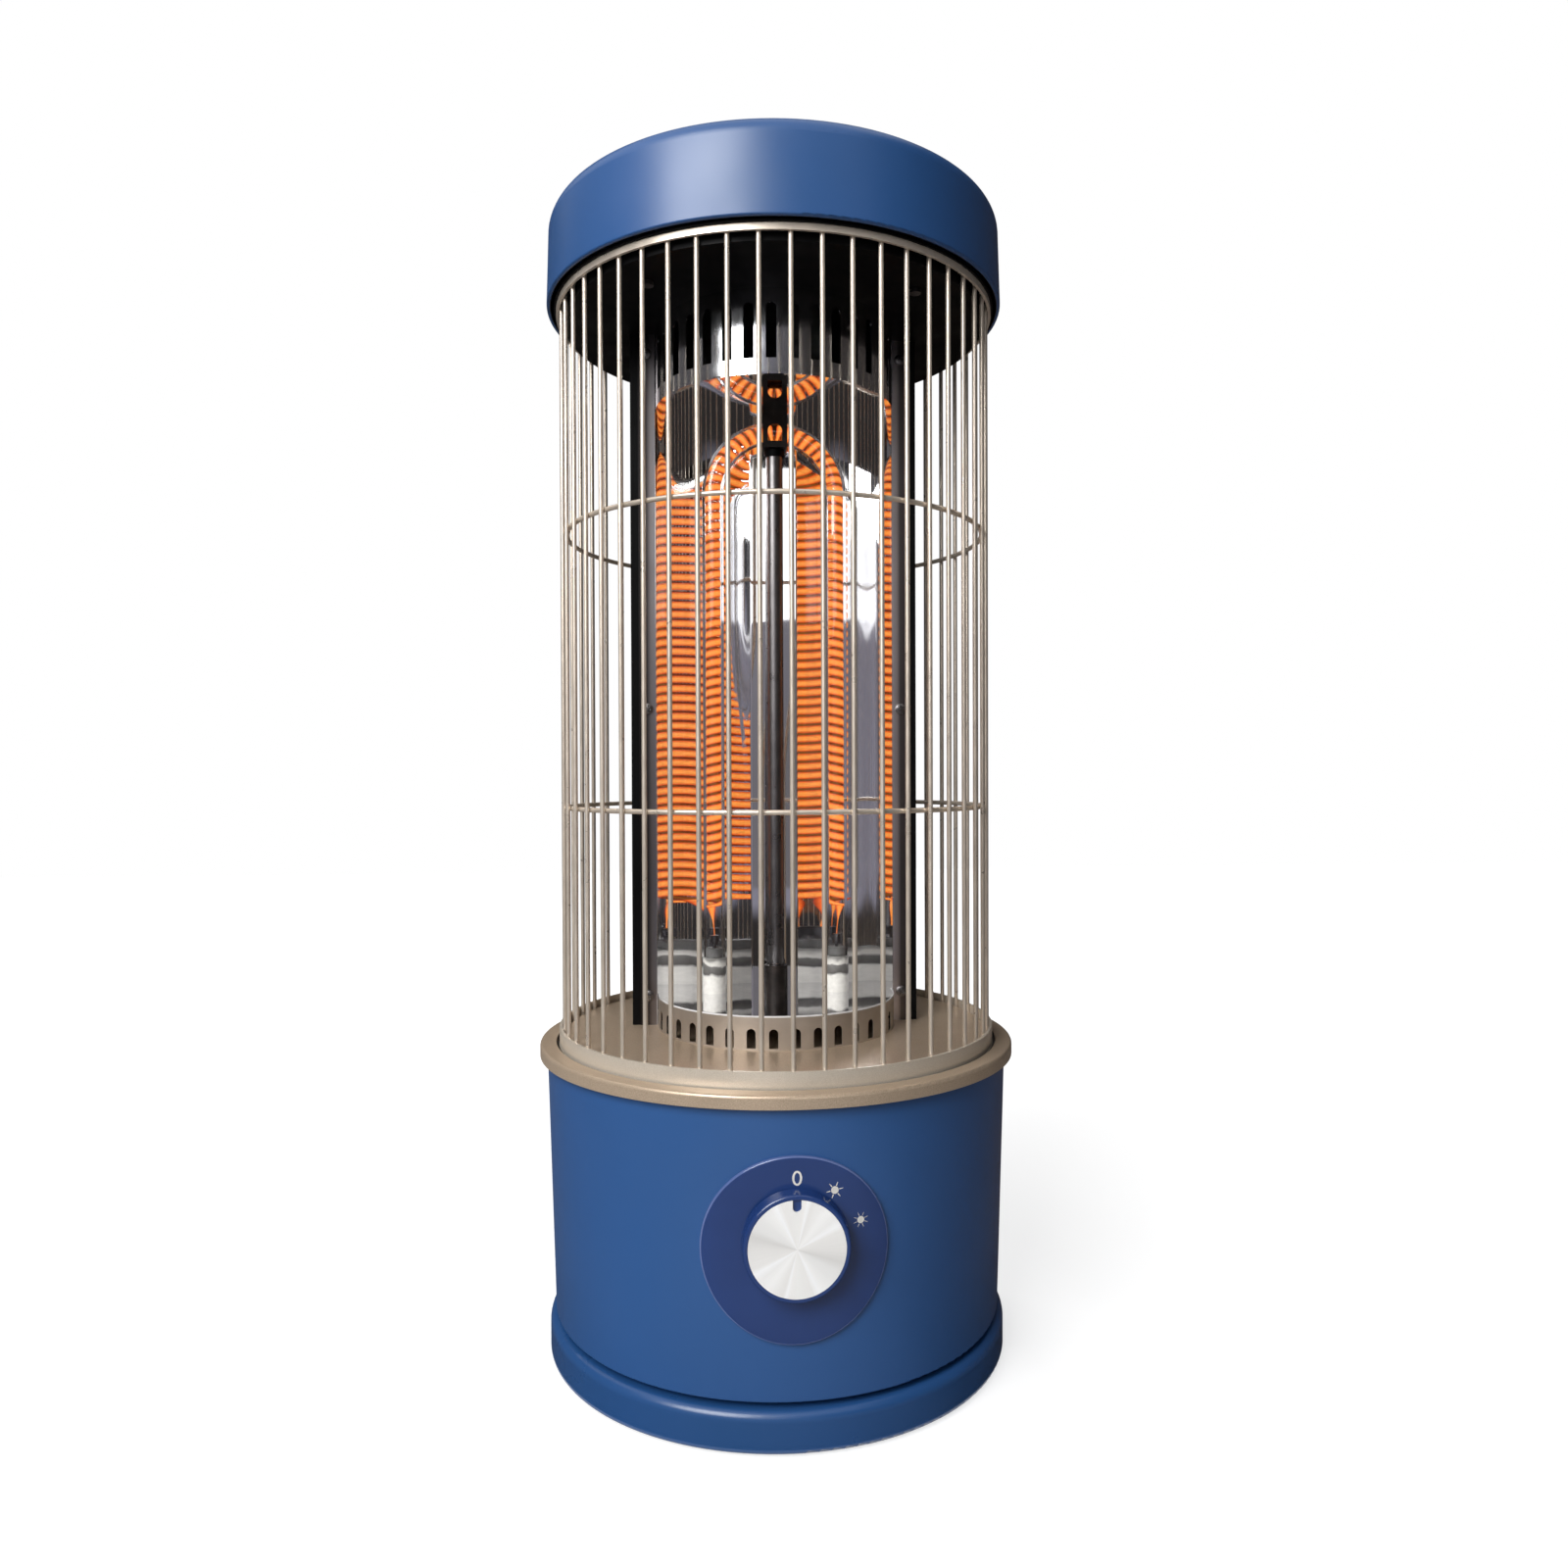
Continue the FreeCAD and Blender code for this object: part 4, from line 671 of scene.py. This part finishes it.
def filament_tails():
    """End of the ribbon under each coil: a strip that narrows from a turn's width to a wire and runs in
    from the coil's outside to the leg's axis as it goes down to its clip. Along it the height falls; across
    it a thin closed loop, turned by a slow twist."""
    wire_half = 0.3
    flare = 2.6
    flare_end = 0.75
    twist_turns = 0.3
    start_share = 0.45
    top = COIL_FOOT + 1.0
    drop = np.linspace(0, 1, 41)[:, None]
    across = np.array([-1.0, -0.5, 0.0, 0.5, 1.0, 0.5, 0.0, -0.5])
    thick = np.array([0.0, 0.2, 0.24, 0.2, 0.0, -0.2, -0.24, -0.2])
    half = wire_half + flare * np.clip(1 - drop / flare_end, 0, 1) ** 1.3
    uv = drawn_in(np.broadcast_to(np.stack([0 * across, across / 2 + 0.5], -1), (len(drop), len(across), 2)))
    for name, side in (("left_filament_tail", -1), ("right_filament_tail", 1)):
        twist = side * TAU * twist_turns * drop
        off = side * COIL_OUTSIDE * start_share * (1 - drop) ** 1.5
        x = side * HALF_SPACING + off + half * across * np.cos(twist) - thick * np.sin(twist)
        y = half * across * np.sin(twist) + thick * np.cos(twist)
        z = np.broadcast_to(top - (top - LEAD_TOP) * drop, x.shape)
        skin(name, drawn_in(np.stack([x, y, z], -1)), "carbon", "heater", wrap_columns=True, uv=uv)


# Mirror

def mirror_depth(x, level):
    """Depth of the mirror's face behind its flanges: an arc behind each leg and a ridge between them. The
    inner half of the left arc is up to a fifth flatter towards the top, as in a sheet that was folded a
    little unevenly."""
    uneven_from = 305.0
    uneven_rise = 95.0
    uneven_share = 0.18
    half = MIRROR_INSIDE - HALF_SPACING
    radius = (half ** 2 + TROUGH_DEPTH ** 2) / (2 * TROUGH_DEPTH)
    ridge = HALF_SPACING - math.sqrt(2 * radius * RIDGE_RISE - RIDGE_RISE ** 2)
    off = np.maximum(np.abs(x), ridge) - HALF_SPACING
    rise = radius - np.sqrt(radius ** 2 - off ** 2)
    climb = np.clip((level - uneven_from) / uneven_rise, 0, 1)
    flatter = uneven_share * climb * climb * (3 - 2 * climb)
    left = np.clip(0.5 - x / (2 * ridge), 0, 1)
    return TROUGH_DEPTH - rise * np.where(off < 0, 1 - flatter * left, 1.0)


def flange_depth(x, level):
    """Depth of a flange's face, which is flat."""
    return np.zeros_like(x)


def mirror_skin():
    """Mirror sheet and its two flanges. Across the sheet x goes from edge to edge; round it, up the face
    and down the rear one thickness behind. A flange is a flat strip with the same course."""
    def sheet(name, x, depth_at, low, high, steps):
        level = np.linspace(low, high, steps)
        across, up = np.meshgrid(x, level, indexing="ij")
        face = np.stack([across, depth_at(across, up), up], -1)
        rear = face[:, ::-1] + [0.0, SHEET, 0.0]
        grid = drawn_in(np.concatenate([face, rear], axis=1))
        return skin(name, grid, "mirror_sheet", "heater", wrap_columns=True)

    across_mirror = np.linspace(-MIRROR_INSIDE, MIRROR_INSIDE, 361)
    made = sheet("mirror_skin", across_mirror, mirror_depth, MIRROR_LOW, MIRROR_HIGH, 49)
    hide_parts("reflector")
    for name, start, end in (("left_mirror_flange", FLANGE_LOW[0], -MIRROR_INSIDE),
                             ("right_mirror_flange", MIRROR_INSIDE, FLANGE_HIGH[0])):
        sheet(name, np.linspace(start, end, 5), flange_depth, FLANGE_LOW[2], FLANGE_HIGH[2], 9)


def cross_screws():
    """Pan-head screws on the mirror's flanges. From the middle of a head out, its height is a dome less two
    crossed grooves that end short of the rim; then come the rim, the seat and the shank, closed at its
    tip."""
    groove_half = 0.42
    groove_side = 0.14
    groove_reach = 1.75
    groove_end = 0.3
    groove_depth = 0.95
    first_turn = 0.4
    turn_step = 0.7
    angle = np.linspace(0, TAU, 73)[:-1]
    domed = np.linspace(0, 0.94, 22)
    out = np.concatenate([domed, [0.985, 1.0, 1.0]]) * SCREW_HEAD_RADIUS
    dome = np.concatenate([1 - 0.3 * domed ** 2, [0.66, 0.5, 0.0]]) * SCREW_HEAD
    x = out[:, None] * np.cos(angle)
    z = out[:, None] * np.sin(angle)

    def groove(along, beside):
        """Share of a groove's depth: 1 in the groove, sloping to 0 at its sides and ends."""
        return (np.clip((groove_half - np.abs(beside)) / groove_side, 0, 1)
                * np.clip((groove_reach - np.abs(along)) / groove_end, 0, 1))

    lift = np.broadcast_to(dome[:, None], x.shape) - groove_depth * np.maximum(groove(x, z), groove(z, x))
    shank = np.array([[SCREW_RADIUS, 0.0], [SCREW_RADIUS, -SCREW_HIGH[1]], [0.0, -SCREW_HIGH[1]]])
    x = np.concatenate([x, shank[:, :1] * np.cos(angle)])
    z = np.concatenate([z, shank[:, :1] * np.sin(angle)])
    lift = np.concatenate([lift, np.broadcast_to(shank[:, 1:], (len(shank), len(angle)))])
    reach = (MIRROR_INSIDE + FLANGE_HIGH[0]) / 2
    low = SCREW_LOW[2] + SCREW_HEAD_RADIUS
    levels = (low, low + SCREW_MIDDLE_RISE, SCREW_HIGH[2] - SCREW_HEAD_RADIUS)
    places = [(side * reach, level) for side in (-1, 1) for level in levels]
    for i, (across, level) in enumerate(places):
        turn = first_turn + turn_step * i
        points = np.stack([across + x * math.cos(turn) - z * math.sin(turn), -lift,
                           level + x * math.sin(turn) + z * math.cos(turn)], -1)
        screw = skin(f"mirror_screw_{i}", points, "steel", "heater", wrap_columns=True, crease=30)
        if i == 0:
            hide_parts("reflector_screws")


# Dial

def drum_radius(level):
    """Outer radius of the drum at a height."""
    rise = DRUM_HIGH[2] - DRUM_LOW[2]
    return DRUM_BOTTOM_RADIUS + (DRUM_TOP_RADIUS - DRUM_BOTTOM_RADIUS) * (level - DRUM_LOW[2]) / rise


def on_dial(x, z, lift):
    """Points a lift in front of the drum's outside, over places given across and up."""
    radius = drum_radius(z) + SEAT_GAP + lift
    return np.stack([x, -np.sqrt(radius ** 2 - x ** 2), z], -1)


def dial_plate_skin():
    """Dial plate with rounded edges, bent to the drum. Round the dial the angle goes once; across it a
    closed section: out along the face, over a rounded edge, back along the rear and up the hole. Near the
    hole the section is moved from the plate's middle to the knob's axis."""
    edge_round = 0.7
    steps = 24
    moved_reach = 14
    bend = np.linspace(0, math.pi / 2, 7)[1:]
    face = np.linspace(DIAL_HOLE, DIAL_RADIUS - edge_round, steps)
    edge = DIAL_RADIUS - edge_round + edge_round * np.sin(bend)
    rear = np.linspace(DIAL_RADIUS, DIAL_HOLE, steps)
    reach = np.concatenate([face, edge, rear])
    edge_lift = DIAL_THICKNESS - edge_round * (1 - np.cos(bend))
    lift = np.concatenate([np.full(steps, DIAL_THICKNESS), edge_lift, np.zeros(steps)])
    angle = np.linspace(0, TAU, 193)[:-1]
    x = np.cos(angle)[:, None] * reach
    moved = np.clip((moved_reach - reach) / (moved_reach - DIAL_HOLE), 0, 1)
    z = DIAL_LEVEL + np.sin(angle)[:, None] * reach + (KNOB_LEVEL - DIAL_LEVEL) * moved
    points = on_dial(x, z, np.broadcast_to(lift, x.shape))
    plate = skin("dial_plate_skin", points, "navy_plastic", "heater", wrap_rows=True, wrap_columns=True)
    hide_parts("dial_plate")


def printed(name, x, z, round_mark):
    """White print on the dial: a grid of places across and up, as a film with its face a little over the
    plate and its rear a little inside it. A round mark goes out from its middle and back on the rear, or
    round and round if it has a hole; a stroke goes across its face and back on the rear."""
    face = on_dial(x, z, DIAL_THICKNESS + PRINT_RISE)
    rear = on_dial(x, z, DIAL_THICKNESS - PRINT_DEPTH)
    if round_mark:
        points = np.concatenate([face, rear[::-1]])
        skin(name, points, "ceramic", "heater", wrap_rows=True, wrap_columns=True)
    else:
        points = np.concatenate([face, rear[:, ::-1]], axis=1)
        skin(name, drawn_in(points), "ceramic", "heater", wrap_columns=True)


def nought():
    """Nought over the knob: a band between two ovals."""
    across, up = NOUGHT_PLACE
    angle = np.linspace(0, TAU, 65)[:-1]
    outer = np.stack([2.25 * np.cos(angle), 3.45 * np.sin(angle)], -1)
    inner = np.stack([1.25 * np.cos(angle), 2.5 * np.sin(angle)], -1)
    inward = np.linspace(0, 1, 4)[:, None, None]
    band = outer * (1 - inward) + inner * inward
    printed("dial_nought", across + band[..., 0], KNOB_LEVEL + up + band[..., 1], True)


def sun(name, place, disc, reach, rays, first_way, half_width):
    """Sun beside the knob: a disc of a radius, and straight rays that go on to the reach, the first at an
    angle in degrees, each a strip that starts a little off the disc and narrows outwards."""
    ray_gap = 0.35
    narrowing = 0.6
    across, up = place
    angle = np.linspace(0, TAU, 65)[:-1]
    ring = np.linspace(0, 1, 5)[:, None] * disc
    printed(name, across + ring * np.cos(angle), KNOB_LEVEL + up + ring * np.sin(angle), True)
    along = np.linspace(disc + ray_gap, reach, 5)[:, None]
    half = np.array([-1.0, 0.0, 1.0]) * half_width * (1 - narrowing * (along - disc) / (reach - disc))
    for i in range(rays):
        way = math.radians(first_way + 360 * i / rays)
        printed(f"{name}_ray_{i}", across + along * math.cos(way) - half * math.sin(way),
                KNOB_LEVEL + up + along * math.sin(way) + half * math.cos(way), False)


def dial_marks():
    """Nought and two suns round the knob."""
    nought()
    sun("dial_full_sun", FULL_SUN_PLACE, disc=1.75, reach=3.9, rays=6, first_way=10, half_width=0.30)
    sun("dial_half_sun", HALF_SUN_PLACE, disc=1.65, reach=3.6, rays=8, first_way=22, half_width=0.15)


# Stage

def photo_camera():
    """Camera at the photograph's place: turned by yaw about Z, tilted by pitch, rolled about its own
    axis."""
    data = bpy.data.cameras.new("photo_camera")
    data.sensor_fit = "HORIZONTAL"
    data.sensor_width = SENSOR_WIDTH
    data.lens = FOCAL_PIXELS / FRAME_PIXELS * SENSOR_WIDTH
    data.clip_start = 0.01
    camera = bpy.data.objects.new("photo_camera", data)
    bpy.context.scene.collection.objects.link(camera)
    turn = Matrix.Rotation(math.radians(CAMERA_YAW), 4, "Z")
    tilt = Matrix.Rotation(math.radians(90 + CAMERA_PITCH), 4, "X")
    roll = Matrix.Rotation(math.radians(-CAMERA_ROLL), 4, "Z")
    camera.matrix_world = Matrix.Translation([v * MM for v in CAMERA_PLACE]) @ turn @ tilt @ roll
    bpy.context.scene.camera = camera


def seen(tree):
    """1 for rays from the camera and rays that are mirrored or pass through glass, 0 for the rays that
    light things."""
    path = tree.nodes.new("ShaderNodeLightPath")
    found = path.outputs["Is Camera Ray"]
    for other in ("Is Glossy Ray", "Is Transmission Ray"):
        more = tree.nodes.new("ShaderNodeMath")
        more.operation = "MAXIMUM"
        tree.links.new(found, more.inputs[0])
        tree.links.new(path.outputs[other], more.inputs[1])
        found = more.outputs["Value"]
    return found


def white_world():
    """World that is white where it is seen and gives weak, slightly cool light."""
    world = bpy.data.worlds.new("studio")
    bpy.context.scene.world = world
    world.use_nodes = True
    tree = world.node_tree
    soft = tree.nodes["Background"]
    soft.inputs["Color"].default_value = (0.95, 0.97, 1.0, 1.0)
    soft.inputs["Strength"].default_value = 0.13
    white = tree.nodes.new("ShaderNodeBackground")
    white.inputs["Color"].default_value = grey(1.0)
    mix = tree.nodes.new("ShaderNodeMixShader")
    tree.links.new(seen(tree), mix.inputs["Fac"])
    tree.links.new(soft.outputs["Background"], mix.inputs[1])
    tree.links.new(white.outputs["Background"], mix.inputs[2])
    tree.links.new(mix.outputs["Shader"], tree.nodes["World Output"].inputs["Surface"])


def panel(name, corners_m, material):
    """Flat staged panel with four corners in metres."""
    mesh = bpy.data.meshes.new(name)
    mesh.from_pydata(corners_m, [], [(0, 1, 2, 3)])
    mesh.materials.append(material)
    made = bpy.data.objects.new(name, mesh)
    bpy.context.scene.collection.objects.link(made)
    return made


def level_panel(name, half, height, material):
    """Square panel that lies level about the Z axis."""
    places = ((-half, -half), (half, -half), (half, half), (-half, half))
    return panel(name, [(*place, height) for place in places], material)


def upright_panel(name, start, end, height, material):
    """Panel that stands on the line between two places."""
    return panel(name, [(*start, 0), (*end, 0), (*end, height), (*start, height)], material)


def pale_floor():
    """Floor that is lit, so that it keeps the shadow, and lightened where it is seen, to plain white away
    from the heater."""
    paper = Finish("floor_paper", grey(0.45), 0.9, Specular_IOR_Level=0.0)
    lift = paper.span(paper.away(), 0.72, 1.0, 0.2, 1.0)
    paper.set("Emission Color", grey(1.0))
    paper.set("Emission Strength", paper.times(lift, seen(paper.tree)))
    level_panel("floor", FLOOR_HALF, 0, paper.material)


def glowing(name, colour=None):
    """Black finish that only glows, in a colour if one is given."""
    made = Finish(name, grey(0.0), 1.0, Specular_IOR_Level=0.0)
    made.set("Emission Strength", 1.0)
    if colour is not None:
        made.set("Emission Color", colour)
    return made


def front_glow():
    """Front wall's glow: lavender on the left, grey past the middle, dark brown on the right. Up the wall
    it goes dark, lights up again in one band and goes dark at the top."""
    made = glowing("front_wall")
    axes = made.split()
    across = made.ramp(made.span(axes["X"], 0.0, 1.0, -ROOM_HALF, ROOM_HALF), [
        (0.0, (0.24, 0.23, 0.28, 1.0)), (0.42, (0.25, 0.24, 0.29, 1.0)),
        (0.54, (0.15, 0.14, 0.15, 1.0)), (0.66, (0.15, 0.135, 0.135, 1.0)),
        (0.76, (0.06, 0.052, 0.05, 1.0)), (1.0, (0.035, 0.028, 0.025, 1.0))])
    up = made.ramp(made.span(axes["Z"], 0.0, 1.0, 0.0, 2.0), [
        (0.0, grey(1.0)), (0.42, grey(1.0)), (0.5, grey(0.08)), (0.64, grey(0.08)),
        (0.69, grey(1.0)), (0.74, grey(0.8)), (0.84, grey(0.05))])
    made.set("Emission Color", made.tinted(across, up))
    return made.material


def ground_glow():
    """Ground's glow: lavender at the front wall and near black closer by. Beside and behind the heater it
    is lighter at the left and the right. A pale spot lies before the heater and a bright patch further out
    on the left."""
    made = glowing("dark_ground")
    axes = made.split()
    outward = made.ramp(made.span(axes["Y"], 0.0, 1.0, -ROOM_HALF, 0.0), [
        (0.0, (0.24, 0.23, 0.28, 1.0)), (0.16, (0.24, 0.23, 0.28, 1.0)), (0.28, (0.03, 0.026, 0.025, 1.0))])
    across = made.ramp(made.span(axes["X"], 0.0, 1.0, -0.5, 0.5), [
        (0.0, (0.12, 0.115, 0.12, 1.0)), (0.30, (0.12, 0.115, 0.12, 1.0)), (0.42, (0.03, 0.027, 0.025, 1.0)),
        (0.62, (0.03, 0.027, 0.025, 1.0)), (0.72, (0.10, 0.08, 0.07, 1.0))])
    close = made.span(axes["Y"], 0.0, 1.0, -0.6, -0.35)
    colour = made.blend(close, outward, across, "LIGHTEN")
    spot = made.span(made.away((0, -0.42, 0)), 1.0, 0.0, 0.2, 0.34)
    colour = made.blend(spot, colour, (0.34, 0.34, 0.35, 1.0))
    patch = made.span(made.away((-0.17, -0.9, 0), (1, 0.6, 0)), 1.0, 0.0, 0.09, 0.17)
    made.set("Emission Color", made.blend(patch, colour, (0.95, 0.95, 0.97, 1.0)))
    return made.material


def reflected_room():
    """Dim room that only mirrored and bent rays meet: walls in front, behind and at both sides, darker on
    the right and behind, and a ground that hides the pale floor from them."""
    left = glowing("left_room", (0.09, 0.085, 0.09, 1.0)).material
    right = glowing("right_room", (0.045, 0.038, 0.036, 1.0)).material
    half = ROOM_HALF
    room = [upright_panel("front_wall", (half, -half), (-half, -half), LOW_WALL, front_glow()),
            upright_panel("left_wall", (-half, -half), (-half, half), LOW_WALL, left),
            upright_panel("right_wall", (half, half), (half, -half), HIGH_WALL, right),
            level_panel("dark_ground", half, GROUND_LEVEL, ground_glow()),
            upright_panel("rear_wall", (-half, half), (half, half), HIGH_WALL, right)]
    for side in room:
        side.visible_camera = False
        side.visible_diffuse = False
        side.visible_shadow = False


def aimed(place, aim):
    """Matrix that stands at a place and looks along -Z at an aim."""
    back = np.array(place, float) - np.array(aim, float)
    back /= np.linalg.norm(back)
    right = np.cross([0.0, 0.0, 1.0], back)
    right /= np.linalg.norm(right)
    up = np.cross(back, right)
    return Matrix([[right[i], up[i], back[i], place[i]] for i in range(3)] + [[0, 0, 0, 1]])


def lamps():
    """Large soft lamp at the upper left, a bright panel in front of the mirror and a weak lamp behind that
    leaves no glint. Places, aims and sizes are in metres, power in watts."""
    middle = (0, 0, 0.32)
    for name, place, aim, width, height, power, glints in (
            ("key_lamp", (-1.03, -1.42, 1.40), middle, 1.2, 1.2, 47.0, True),
            ("window_lamp", (-0.565, -1.60, 0.77), (-0.565, 0, 0.77), 1.37, 0.30, 2.1, True),
            ("rear_lamp", (-0.7, 1.6, 1.3), middle, 1.0, 1.0, 15.0, False)):
        data = bpy.data.lights.new(name, "AREA")
        data.shape = "RECTANGLE"
        data.size = width
        data.size_y = height
        data.energy = power
        lamp = bpy.data.objects.new(name, data)
        bpy.context.scene.collection.objects.link(lamp)
        lamp.matrix_world = aimed(place, aim)
        lamp.visible_glossy = glints


photo_camera()
dress_nodes()
filament_ribbons()
filament_tails()
mirror_skin()
cross_screws()
dial_plate_skin()
dial_marks()
white_world()
pale_floor()
reflected_room()
lamps()
bpy.context.scene.view_settings.view_transform = "Standard"
